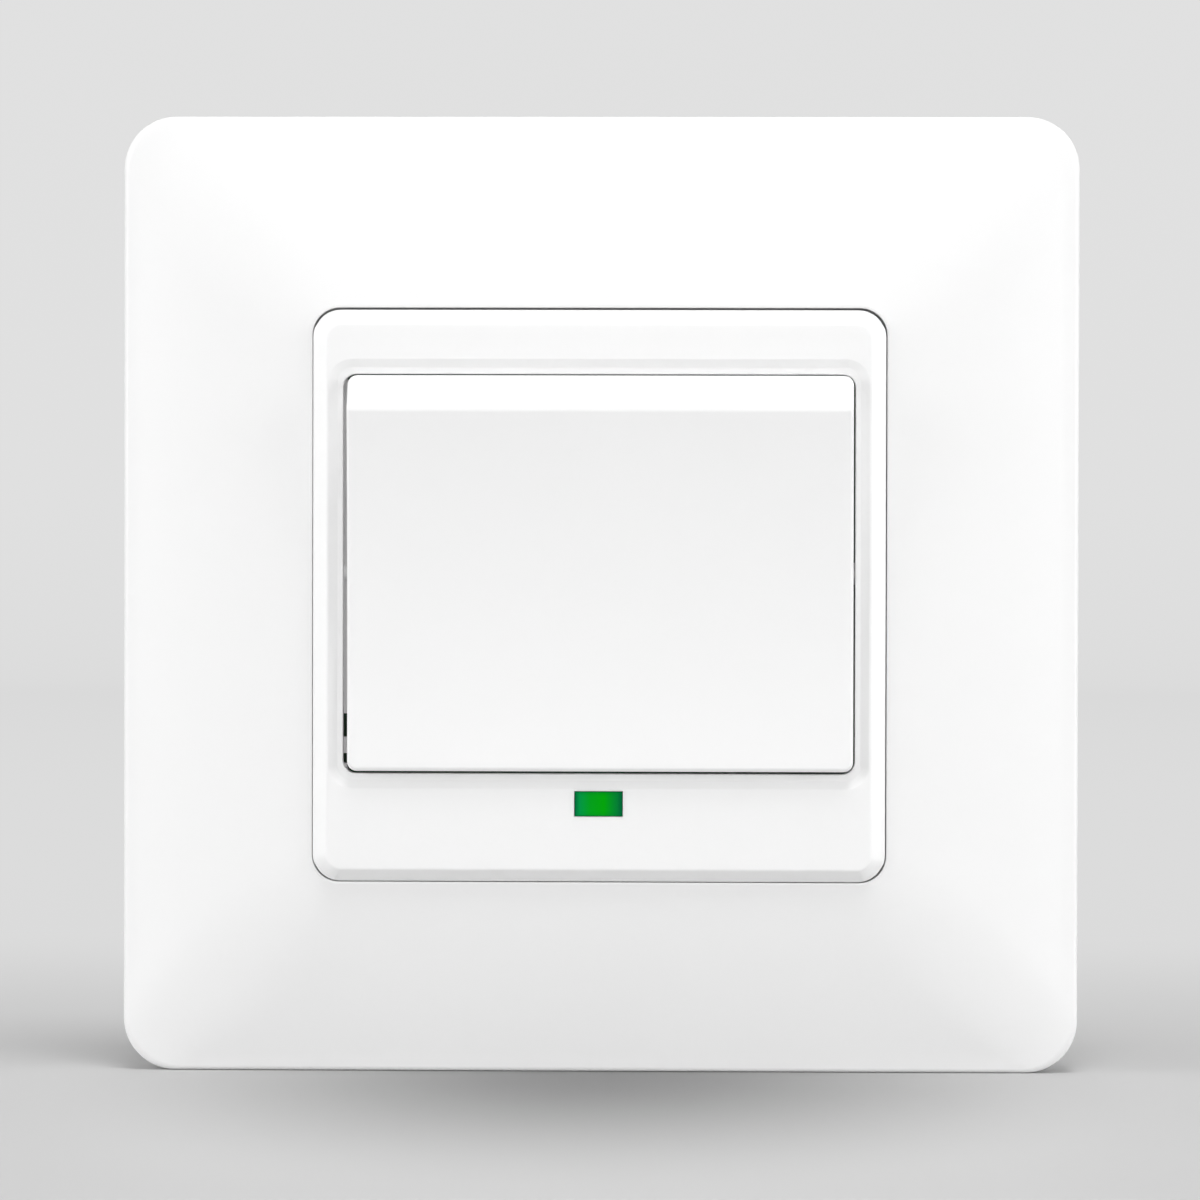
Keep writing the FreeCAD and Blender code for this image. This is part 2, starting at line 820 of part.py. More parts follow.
def tact_switch(y):
    """Low square push switch soldered to the board."""
    half = switch_size / 2
    top = board_front + switch_height
    body = square_post(half, board_front, top, (0.0, y))
    body = body.makeChamfer(switch_corner, [edge for edge in body.Edges if is_upright(edge)])
    body = body.cut(disc(stem_radius + stem_clearance, top - switch_well_depth, top + cut_past, (0.0, y)))
    pieces = [body]
    for x in (-half, half):
        for side in (-1, 1):
            place = (x, y + side * switch_leg_place)
            high = board_front + switch_leg_thickness
            pieces.append(rectangle(switch_leg_length, switch_leg_width, board_front, high, place))
    return fused(pieces)


def switch_stem(y):
    """Soft silicone cap that carries the rocker's push to the switch and pushes it back."""
    low = board_front + switch_height - switch_well_depth
    return disc(stem_radius, low, press_pad_low - stem_gap, (0.0, y))


def indicator_lens():
    """Clear green light pipe, flush with the face, with a flange behind it."""
    place = (0.0, lens_place)
    pipe = rectangle(lens_width, lens_height, lens_low, insert_face, place)
    flange_high = face_plate_back - lens_flange_gap
    width = lens_width + 2 * lens_flange
    height = lens_height + 2 * lens_flange
    flange = rectangle(width, height, flange_high - lens_flange_height, flange_high, place)
    return fused([pipe, flange])


def on_board(width, height, low, high, place):
    """A square-edged block counted from the board's front."""
    return rectangle(width, height, board_front + low, board_front + high, place)


def indicator_led():
    """Small surface-mounted light below the lens."""
    place = (0.0, lens_place)
    base = on_board(led_width, led_height, 0, led_base_top, place)
    dome = on_board(led_width - 2 * led_dome_inset, led_height, 0, led_top, place)
    return fused([base, dome])


def controller_chip():
    """Fourteen-lead chip that reads the switches and forms the radio code."""
    pieces = [on_board(ic_width, ic_length, solder_lift, ic_top, (-parts_column, ic_row))]
    for index in range(ic_leads):
        lead_row = ic_row + (index - (ic_leads - 1) / 2) * ic_lead_pitch
        for side in (-1, 1):
            inner = ic_width / 2 - ic_lead_root
            outer = ic_lead_span / 2
            place = (-parts_column + side * (inner + outer) / 2, lead_row)
            pieces.append(on_board(outer - inner, ic_lead_width, 0, lead_thickness, place))
    return fused(pieces)


def resonator_can():
    """Metal-lidded resonator that sets the radio frequency."""
    place = (parts_column, can_row)
    base = on_board(can_base, can_base, 0, can_base_top, place)
    lid = on_board(can_lid, can_lid, 0, can_lid_top, place)
    return fused([base, lid])


def rf_transistor():
    """Three-lead radio transistor."""
    place = (parts_column, transistor_row)
    pieces = [on_board(transistor_length, transistor_width, solder_lift, transistor_top, place)]
    for across, side in ((-transistor_lead_pitch, -1), (transistor_lead_pitch, -1), (0, 1)):
        place = (parts_column + across, transistor_row + side * transistor_lead_reach / 2)
        pieces.append(on_board(transistor_lead_width, transistor_lead_reach, 0, lead_thickness, place))
    return fused(pieces)


def antenna_loop():
    """Loop antenna: a copper strip bent into a bridge whose two feet are soldered to the board."""
    low = board_front
    high = low + antenna_height
    span = rocker_height / 2 - antenna_end_distance
    outer = [(-span, low), (-span, high), (span, high), (span, low)]
    inner_high = high - antenna_thickness
    inner_span = span - antenna_thickness
    inner = [(inner_span, low), (inner_span, inner_high), (-inner_span, inner_high), (-inner_span, low)]
    strip = prism(outer + inner, antenna_place - antenna_width / 2, antenna_place + antenna_width / 2)
    for level, radius in ((high, antenna_bend), (inner_high, antenna_bend - antenna_thickness)):
        crosswise = [edge for edge in strip.Edges if is_crosswise(edge)]
        bends = [edge for edge in crosswise if abs(edge.BoundBox.ZMin - level) < 0.01]
        strip = strip.makeFillet(radius, bends)
    return strip


def small_parts(places, height):
    """Identical surface-mounted chips, each its own piece."""
    return Part.makeCompound([on_board(chip_length, chip_width, 0, height, place) for place in places])


def chip_capacitors():
    """Blocking and supply capacitors."""
    left = [(-parts_column, capacitors_above + index * chip_pitch) for index in range(2)]
    right = [(parts_column, index * chip_pitch - capacitors_below) for index in range(2)]
    return small_parts(left + right, capacitor_height)


def chip_resistors():
    """Pull-up, bias and light resistors."""
    left = [(-parts_column, index * chip_pitch - resistors_below) for index in range(3)]
    right = [(parts_column, -capacitors_below - chip_pitch), (led_resistor, lens_place)]
    return small_parts(left + right, resistor_height)


def case_screws():
    """Four small screws that clamp case, board and fascia together from behind."""
    low = screw_head_high - screw_head_height
    recess_length = 2 * screw_head_radius + cut_past
    screws = []
    for place in four_corners(screw_x, screw_y):
        head = disc(screw_head_radius, low, screw_head_high, place)
        shank = disc(screw_radius, low, screw_head_high + screw_length, place)
        recess = rectangle(recess_length, screw_recess_width, 0, low + screw_recess_depth, place)
        screws.append(fused([head, shank]).cut(recess))
    return Part.makeCompound(screws)


def stand_up(shape):
    """Turn a piece from lying on its back to standing on the wall."""
    copy = shape.copy()
    copy.Placement = Placement(Vector(0, 0, 0), Rotation(Vector(1, 0, 0), 90)).multiply(copy.Placement)
    return copy


pieces = {
    "wall_plate": wall_plate,
    "tape_pads": tape_pads,
    "cover_frame": cover_frame,
    "fascia": fascia,
    "rear_case": rear_case,
    "battery_door": battery_door,
    "rocker": rocker,
    "circuit_board": circuit_board,
    "coin_cell": coin_cell,
    "negative_contact": negative_contact,
    "positive_contact": positive_contact,
    "upper_switch": lambda: tact_switch(rocker_centre + switch_arm),
    "lower_switch": lambda: tact_switch(rocker_centre - switch_arm),
    "upper_switch_stem": lambda: switch_stem(rocker_centre + switch_arm),
    "lower_switch_stem": lambda: switch_stem(rocker_centre - switch_arm),
    "indicator_lens": indicator_lens,
    "indicator_led": indicator_led,
    "controller_chip": controller_chip,
    "resonator_can": resonator_can,
    "rf_transistor": rf_transistor,
    "antenna_loop": antenna_loop,
    "chip_capacitors": chip_capacitors,
    "chip_resistors": chip_resistors,
    "case_screws": case_screws,
}

os.makedirs("parts", exist_ok=True)
for name, make in pieces.items():
    shape = stand_up(make())
    shape.exportStep(os.path.join("parts", name + ".step"))
    box = shape.BoundBox
    print(
        f"{name}: {len(shape.Solids)} solids, valid {shape.isValid()}, {shape.Volume:.1f} mm3,",
        f"x {box.XMin:.2f}..{box.XMax:.2f} y {box.YMin:.2f}..{box.YMax:.2f} z {box.ZMin:.2f}..{box.ZMax:.2f}",
    )
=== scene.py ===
# %% [markdown]
# # A wireless wall switch, dressed for a studio picture
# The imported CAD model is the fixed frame: every body, joint and node has its place there.
# This lesson gives the parts that can be seen their soft edges and their plastics, and leaves
# each one riding on its own body, so the rocker still tilts and the battery door still turns.
# Everything is in metres, +X to the right, +Z up, the wall at y = 0 and the front towards -Y.

import math

import bmesh
import bpy
from mathutils import Euler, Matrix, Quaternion, Vector


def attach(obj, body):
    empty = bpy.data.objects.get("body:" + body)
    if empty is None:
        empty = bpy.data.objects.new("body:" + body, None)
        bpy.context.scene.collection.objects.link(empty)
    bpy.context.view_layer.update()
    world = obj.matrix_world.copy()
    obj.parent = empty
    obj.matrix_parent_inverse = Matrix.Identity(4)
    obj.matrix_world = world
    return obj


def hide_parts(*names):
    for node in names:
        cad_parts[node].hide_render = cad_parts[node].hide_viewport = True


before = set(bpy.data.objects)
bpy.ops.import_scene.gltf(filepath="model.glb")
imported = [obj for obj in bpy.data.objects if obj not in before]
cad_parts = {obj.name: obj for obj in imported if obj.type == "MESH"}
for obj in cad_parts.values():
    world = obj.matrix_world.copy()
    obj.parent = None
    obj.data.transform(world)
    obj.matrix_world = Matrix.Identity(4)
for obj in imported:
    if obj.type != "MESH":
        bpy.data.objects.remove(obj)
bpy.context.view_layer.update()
MM = 0.001

# %% [markdown]
# ## The camera
# The picture was taken with a long lens from about half a metre, a little to the right of the
# middle and a little above it. A long lens keeps the square frame nearly square: only the near
# side comes out a hair larger. The camera looks at the middle of the frame, with no shift.

# %% Camera
camera_data = bpy.data.cameras.new("studio_camera")
camera_data.sensor_width = 36.0
camera_data.lens = 161.56
camera_data.clip_start = 0.01
camera_data.clip_end = 50.0
camera = bpy.data.objects.new("studio_camera", camera_data)
bpy.context.scene.collection.objects.link(camera)
camera_place = (10.15, -490.0, 5.97)
camera.location = [value * MM for value in camera_place]
turn_left, tip_down, roll = [math.radians(value) for value in (1.203, 0.763, 0.122)]
sight = Euler((math.pi / 2 - tip_down, 0, turn_left)).to_quaternion()
camera.rotation_mode = "QUATERNION"
camera.rotation_quaternion = sight @ Quaternion((0, 0, 1), roll)
bpy.context.scene.camera = camera
print("camera at", [round(c / MM, 1) for c in camera.location], "mm")

# %% [markdown]
# ## Small helpers
# Nodes are easiest to read when each one is made by one short call. `maths` adds a math node and
# takes numbers or sockets alike, so a formula in the tree reads nearly like a formula on paper.

# %% Node helpers
def put(tree, socket, value):
    """Give a node's input a number or a link."""
    if isinstance(value, bpy.types.NodeSocket):
        tree.links.new(value, socket)
    else:
        socket.default_value = value


def maths(tree, operation, *values):
    """One math node in any kind of tree."""
    node = tree.nodes.new("ShaderNodeMath")
    node.operation = operation
    for socket, value in zip(node.inputs, values):
        put(tree, socket, value)
    return node.outputs[0]


def set_stops(ramp, stops):
    """Give a colour ramp its (position, colour) stops, from the first to the last."""
    elements = ramp.color_ramp.elements
    for element, (position, colour) in zip(elements, (stops[0], stops[-1])):
        element.position = position
        element.color = colour
    for position, colour in stops[1:-1]:
        elements.new(position).color = colour


def face_outwards(work):
    """Turn a closed shape's faces outwards; moved points need fresh normals first."""
    work.normal_update()
    bmesh.ops.recalc_face_normals(work, faces=work.faces)
    if work.calc_volume(signed=True) < 0:
        bmesh.ops.reverse_faces(work, faces=work.faces)


def new_object(name, mesh):
    """A mesh object at the frame's origin, unturned and unscaled."""
    obj = bpy.data.objects.new(name, mesh)
    bpy.context.scene.collection.objects.link(obj)
    return obj


# %% [markdown]
# ## The plastics
# Nearly all of this switch is one satin white plastic. A real moulding is never one flat colour:
# the mould's spark-eroded skin leaves a grain of a tenth of a millimetre, and the gloss wanders a
# little where the melt flowed. Noise on Object coordinates gives both, at real scale, and a Bump
# node turns the grain into tiny slopes. Constant numbers go on the shader's own sockets. White
# plastic also lets a little light in, which subsurface scattering shows. It is slow to render, so
# only the insert has it, whose narrow bevels and shallow tray show it most.

# %% A moulded or metal finish
PLASTIC_IOR = 1.49
GLOW_DEPTH = 0.6
FLOW_MARKS_PER_METRE = 90.0
GLOSS_SWING = 0.05


def finish_material(
    name, colour, roughness, grain=0.12, depth=0.004, drift=0.015, metallic=0.0, glow=0.0
):
    """A finish with fine grain, gloss that wanders and a trace of colour drift."""
    material = bpy.data.materials.new(name)
    material.use_nodes = True
    tree = material.node_tree
    shader = tree.nodes["Principled BSDF"]
    shader.inputs["Metallic"].default_value = metallic
    shader.inputs["IOR"].default_value = PLASTIC_IOR
    shader.inputs["Subsurface Weight"].default_value = glow
    shader.inputs["Subsurface Radius"].default_value = (1.0, 1.0, 1.0)
    shader.inputs["Subsurface Scale"].default_value = GLOW_DEPTH * MM
    place = tree.nodes.new("ShaderNodeTexCoord").outputs["Object"]

    fine = tree.nodes.new("ShaderNodeTexNoise")
    fine.inputs["Scale"].default_value = 1 / (grain * MM)
    fine.inputs["Detail"].default_value = 2.0
    tree.links.new(place, fine.inputs["Vector"])
    bump = tree.nodes.new("ShaderNodeBump")
    bump.inputs["Distance"].default_value = depth * MM
    bump.inputs["Strength"].default_value = 0.5
    tree.links.new(fine.outputs["Fac"], bump.inputs["Height"])
    tree.links.new(bump.outputs["Normal"], shader.inputs["Normal"])

    broad = tree.nodes.new("ShaderNodeTexNoise")
    broad.inputs["Scale"].default_value = FLOW_MARKS_PER_METRE
    broad.inputs["Detail"].default_value = 3.0
    tree.links.new(place, broad.inputs["Vector"])
    gloss = tree.nodes.new("ShaderNodeMapRange")
    gloss.inputs["To Min"].default_value = roughness - GLOSS_SWING
    gloss.inputs["To Max"].default_value = roughness + GLOSS_SWING
    tree.links.new(broad.outputs["Fac"], gloss.inputs["Value"])
    tree.links.new(gloss.outputs["Result"], shader.inputs["Roughness"])

    tint = tree.nodes.new("ShaderNodeMix")
    tint.data_type = "RGBA"
    tint.inputs["A"].default_value = (*[c * (1 - drift) for c in colour], 1)
    tint.inputs["B"].default_value = (*colour, 1)
    tree.links.new(broad.outputs["Fac"], tint.inputs["Factor"])
    tree.links.new(tint.outputs["Result"], shader.inputs["Base Color"])
    return material


def metal_finish(name, colour, roughness):
    """Plated or rolled metal, whose grain is coarser and shallower than a moulding's."""
    return finish_material(name, colour, roughness, grain=0.3, depth=0.003, metallic=1.0)


WHITE = (0.86, 0.86, 0.86)
white_frame = finish_material("white_frame_satin", WHITE, 0.42)
white_face = finish_material("white_face_satin", WHITE, 0.40, glow=0.5)
white_rocker = finish_material("white_rocker_satin", WHITE, 0.40)
white_case = finish_material("white_case_matt", (0.80, 0.80, 0.79), 0.55, grain=0.2, depth=0.008)
print("plastics:", [m.name for m in (white_frame, white_face, white_rocker, white_case)])

# %% [markdown]
# ## A lathe for rounded squares
# The cover frame and the fascia are both square rings: one cross-section carried round a square
# with rounded corners. A lathe does this for circles. This Geometry Nodes tree does it for rounded
# rectangles: each point of the cross-section says how far out the sides lie (x and y), how far it
# is from the wall (z), which corner radius it has there and how far its middle is raised. A grid
# then takes one column from each point and one row from each step round the rectangle.

# %% The rounded-rectangle lathe
SAME_POINT = 1e-6


def rounded_lathe_tree():
    """Geometry Nodes that sweep a cross-section round a rectangle with rounded corners."""
    tree = bpy.data.node_groups.new("rounded_rectangle_lathe", "GeometryNodeTree")
    face = tree.interface
    face.new_socket(name="Cross-section", in_out="INPUT", socket_type="NodeSocketGeometry")
    face.new_socket(name="Corner steps", in_out="INPUT", socket_type="NodeSocketInt")
    face.new_socket(name="Side steps", in_out="INPUT", socket_type="NodeSocketInt")
    face.new_socket(name="Finish", in_out="INPUT", socket_type="NodeSocketMaterial")
    face.new_socket(name="Ring", in_out="OUTPUT", socket_type="NodeSocketGeometry")
    start = tree.nodes.new("NodeGroupInput").outputs
    end = tree.nodes.new("NodeGroupOutput").inputs

    size = tree.nodes.new("GeometryNodeAttributeDomainSize")
    tree.links.new(start["Cross-section"], size.inputs[0])
    points = size.outputs["Point Count"]
    per_side = maths(tree, "ADD", maths(tree, "ADD", start["Corner steps"], start["Side steps"]), 1)
    around = maths(tree, "ADD", maths(tree, "MULTIPLY", per_side, 4), 1)
    grid = tree.nodes.new("GeometryNodeMeshGrid")
    tree.links.new(maths(tree, "ADD", points, 1), grid.inputs["Vertices X"])
    tree.links.new(around, grid.inputs["Vertices Y"])

    index = tree.nodes.new("GeometryNodeInputIndex").outputs[0]
    column_share = maths(tree, "DIVIDE", maths(tree, "ADD", index, 0.5), around)
    column = maths(tree, "MODULO", maths(tree, "FLOOR", column_share), points)
    row = maths(tree, "MODULO", index, around)
    side = maths(tree, "FLOOR", maths(tree, "DIVIDE", maths(tree, "ADD", row, 0.5), per_side))
    step = maths(tree, "SUBTRACT", row, maths(tree, "MULTIPLY", side, per_side))
    arc = maths(tree, "DIVIDE", maths(tree, "MINIMUM", step, start["Corner steps"]), start["Corner steps"])
    turn = maths(tree, "MULTIPLY", maths(tree, "ADD", side, arc), math.pi / 2)
    past = maths(tree, "MAXIMUM", maths(tree, "SUBTRACT", step, start["Corner steps"]), 0)
    straight = maths(tree, "DIVIDE", past, maths(tree, "ADD", start["Side steps"], 1))
    here = maths(tree, "MULTIPLY", maths(tree, "ADD", side, 0.5), math.pi / 2)
    there = maths(tree, "ADD", here, math.pi / 2)

    def sampled(kind, socket):
        node = tree.nodes.new("GeometryNodeSampleIndex")
        node.data_type = kind
        tree.links.new(start["Cross-section"], node.inputs["Geometry"])
        tree.links.new(socket, node.inputs["Value"])
        tree.links.new(column, node.inputs["Index"])
        return node.outputs["Value"]

    def named(name):
        node = tree.nodes.new("GeometryNodeInputNamedAttribute")
        node.data_type = "FLOAT"
        node.inputs["Name"].default_value = name
        return node.outputs["Attribute"]

    position = tree.nodes.new("GeometryNodeInputPosition").outputs[0]
    reach = tree.nodes.new("ShaderNodeSeparateXYZ")
    tree.links.new(sampled("FLOAT_VECTOR", position), reach.inputs[0])
    corner = sampled("FLOAT", named("corner"))
    raised = sampled("FLOAT", named("raised"))

    def across(wave, half):
        """One coordinate: the corner's centre, slid along the straight, plus the arc."""
        near = maths(tree, "MULTIPLY", maths(tree, wave, here), math.sqrt(2))
        far = maths(tree, "MULTIPLY", maths(tree, wave, there), math.sqrt(2))
        way = maths(tree, "MULTIPLY", maths(tree, "SUBTRACT", far, near), straight)
        slid = maths(tree, "ADD", near, way)
        centre = maths(tree, "MULTIPLY", maths(tree, "SUBTRACT", half, corner), slid)
        return maths(tree, "ADD", centre, maths(tree, "MULTIPLY", corner, maths(tree, wave, turn)))

    made = tree.nodes.new("ShaderNodeCombineXYZ")
    tree.links.new(across("COSINE", reach.outputs[0]), made.inputs[0])
    tree.links.new(maths(tree, "MULTIPLY", reach.outputs[2], -1), made.inputs[1])
    tree.links.new(maths(tree, "ADD", across("SINE", reach.outputs[1]), raised), made.inputs[2])
    placed = tree.nodes.new("GeometryNodeSetPosition")
    tree.links.new(grid.outputs["Mesh"], placed.inputs["Geometry"])
    tree.links.new(made.outputs[0], placed.inputs["Position"])

    merged = tree.nodes.new("GeometryNodeMergeByDistance")
    merged.inputs["Distance"].default_value = SAME_POINT
    tree.links.new(placed.outputs[0], merged.inputs["Geometry"])
    smooth = tree.nodes.new("GeometryNodeSetShadeSmooth")
    tree.links.new(merged.outputs[0], smooth.inputs["Geometry"])
    real = tree.nodes.new("GeometryNodeRealizeInstances")
    tree.links.new(smooth.outputs[0], real.inputs["Geometry"])
    painted = tree.nodes.new("GeometryNodeSetMaterial")
    tree.links.new(real.outputs[0], painted.inputs["Geometry"])
    tree.links.new(start["Finish"], painted.inputs["Material"])
    tree.links.new(painted.outputs[0], end["Ring"])
    return tree


lathe = rounded_lathe_tree()
print("lathe nodes:", len(lathe.nodes))

# %% [markdown]
# A modifier's inputs are set by each socket's identifier. The result is turned into a plain mesh
# at once, so nothing live is left on the piece, and its faces are made to point outwards.

# %% From a modifier to a plain mesh
RING_SHARP_DEGREES, SHARP_DEGREES = 40.0, 35.0


def set_inputs(modifier, **values):
    """Set a tree's named inputs on the modifier, before the object is first evaluated."""
    wanted = {key.replace("_", " "): value for key, value in values.items()}
    for item in modifier.node_group.interface.items_tree:
        if item.in_out == "INPUT" and item.name in wanted:
            modifier[item.identifier] = wanted[item.name]


def bake_modifiers(obj):
    """Replace the object's mesh by what its modifiers make, and take them off."""
    bpy.context.view_layer.update()
    evaluated = obj.evaluated_get(bpy.context.evaluated_depsgraph_get())
    mesh = bpy.data.meshes.new_from_object(evaluated)
    obj.modifiers.clear()
    obj.data = mesh
    return obj


def point_outwards(obj, sharp_degrees=RING_SHARP_DEGREES):
    """Turn all faces outwards and mark the edges that are really sharp."""
    work = bmesh.new()
    work.from_mesh(obj.data)
    face_outwards(work)
    for face in work.faces:
        face.smooth = True
    for edge in work.edges:
        edge.smooth = edge.is_manifold and edge.calc_face_angle(0) < math.radians(sharp_degrees)
    loose = sum(1 for edge in work.edges if not edge.is_manifold)
    work.to_mesh(obj.data)
    work.free()
    return loose


def flat_shaded_evenly(obj):
    """Weighted normals keep the wide faces flat to the eye and let the small rounds roll."""
    weighted = obj.modifiers.new("weighted_normals", "WEIGHTED_NORMAL")
    weighted.mode = "FACE_AREA"
    weighted.weight = 60
    weighted.keep_sharp = True
    return bake_modifiers(obj)


def rounded_ring(name, section, finish, corner_steps=12, side_steps=14):
    """Sweep a closed section of (half width, half height, out, corner, raised), in millimetres."""
    mesh = bpy.data.meshes.new(name)
    mesh.from_pydata([(x * MM, y * MM, out * MM) for x, y, out, _, _ in section], [], [])
    for label, column in (("corner", 3), ("raised", 4)):
        values = mesh.attributes.new(label, "FLOAT", "POINT")
        values.data.foreach_set("value", [point[column] * MM for point in section])
    obj = new_object(name, mesh)
    modifier = obj.modifiers.new("lathe", "NODES")
    modifier.node_group = lathe
    set_inputs(modifier, Corner_steps=corner_steps, Side_steps=side_steps, Finish=finish)
    bake_modifiers(obj)
    loose = point_outwards(obj)
    print(name, "faces:", len(obj.data.polygons), "open edges:", loose)
    return obj


def arc_points(centre, radius, start, stop, steps):
    """Points (half, out) on an arc; angles in degrees turn from sideways towards the front."""
    made = []
    for index in range(steps + 1):
        angle = math.radians(start + (stop - start) * index / steps)
        made.append((centre[0] + radius * math.cos(angle), centre[1] + radius * math.sin(angle)))
    return made


# %% [markdown]
# ## The cover frame
# The frame is a pillow: each side is a slice of a big cylinder, steeper at the rim (23 degrees)
# than at the opening (8 degrees), and the four slices meet in soft mitres. The mitre is soft
# because the corner radius of each ring swells midway up the crown. The rim has a small round
# and the wall goes on inside, so the piece is a real shell with a collar round the opening.

# %% Cover frame
FRAME_HALF = 43.0
OPENING_HALF = 25.6
CROWN_RADIUS = 69.6
RIM_TILT, MOUTH_TILT = 23.0, 8.0
CROWN_TOP = 10.0
FRAME_WALL = 1.8
FRAME_BACK = 0.4
RIM_ROUND = 0.7
MOUTH_CORNER, RIM_CORNER, CORNER_SWELL = 2.4, 4.7, 3.4
COLLAR_IN, COLLAR_OUT, COLLAR_LOW = 26.65, 27.65, 5.0
crown_axis_out = CROWN_TOP - CROWN_RADIUS * math.cos(math.radians(MOUTH_TILT))
crown_axis_half = OPENING_HALF - CROWN_RADIUS * math.sin(math.radians(MOUTH_TILT))


def crown_out(half, depth=0.0):
    """Distance from the wall of the crowned skin, or of a skin below it."""
    radius = CROWN_RADIUS - depth
    return crown_axis_out + math.sqrt(radius**2 - (half - crown_axis_half) ** 2)


def crown_corner(half):
    """Corner radius on the way from the opening to the rim, swelling midway."""
    share = (half - OPENING_HALF) / (FRAME_HALF - OPENING_HALF)
    return MOUTH_CORNER + (RIM_CORNER - MOUTH_CORNER) * share + 4 * CORNER_SWELL * share * (1 - share)


def frame_section():
    """Closed cross-section of the frame: wall, rim round, crown, mouth, collar and underside."""
    inner_half = FRAME_HALF - FRAME_WALL
    foot_step, foot_break, wall_top = 0.05, 0.2, 2.5
    rim_steps, crown_steps, under_steps = 6, 26, 8
    mouth_land = 0.3
    section = [
        (inner_half + foot_step, FRAME_BACK),
        (FRAME_HALF - foot_break, FRAME_BACK),
        (FRAME_HALF, FRAME_BACK + foot_break),
        (FRAME_HALF, wall_top),
    ]
    rim_angle = 90.0 - RIM_TILT
    rim_start = crown_out(FRAME_HALF - RIM_ROUND) - RIM_ROUND * math.sin(math.radians(rim_angle))
    section += arc_points((FRAME_HALF - RIM_ROUND, rim_start), RIM_ROUND, 0, rim_angle, rim_steps)
    rim_end = section[-1][0]
    for index in range(1, crown_steps + 1):
        half = rim_end + (OPENING_HALF + mouth_land - rim_end) * index / crown_steps
        section.append((half, crown_out(half)))
    halfway = OPENING_HALF + mouth_land / 2
    section += [
        (halfway, crown_out(halfway) - 0.01),
        (OPENING_HALF + 0.04, CROWN_TOP - 0.06),
        (OPENING_HALF, CROWN_TOP - 0.22),
    ]
    throat = crown_out(COLLAR_IN, FRAME_WALL)
    section += [
        (OPENING_HALF, throat),
        (COLLAR_IN, throat),
        (COLLAR_IN, COLLAR_LOW),
        (COLLAR_OUT, COLLAR_LOW),
        (COLLAR_OUT, crown_out(COLLAR_OUT, FRAME_WALL)),
    ]
    for index in range(1, under_steps + 1):
        half = COLLAR_OUT + (inner_half - COLLAR_OUT) * index / under_steps
        section.append((half, crown_out(half, FRAME_WALL)))
    section.append((inner_half, FRAME_BACK + foot_step))
    rings = []
    for half, out in section:
        corner = crown_corner(min(max(half, OPENING_HALF), FRAME_HALF))
        rings.append((half, half, out, corner, 0.0))
    return rings


cover_frame = rounded_ring("cover_frame_shell", frame_section(), white_frame, 16, 14)
flat_shaded_evenly(cover_frame)
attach(cover_frame, "housing")
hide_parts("cover_frame")

# %% [markdown]
# ## The fascia
# The insert in the middle has a straight bevel all round, a soft edge onto its flat face, and a
# shallow tray with a sloping border round the rocker. Every one of these is a rounded rectangle
# with its own size, so the same lathe makes it: only the tray and the aperture are raised a
# little, because the rocker sits above the middle to leave room for the indicator.

# %% Fascia shell
FACE_OUT = 11.2
INSERT_HALF, INSERT_CORNER = 25.48, 2.4
ROCKER_RAISED = 1.95
HOLE_HALF_W, HOLE_HALF_H = 22.8, 17.775


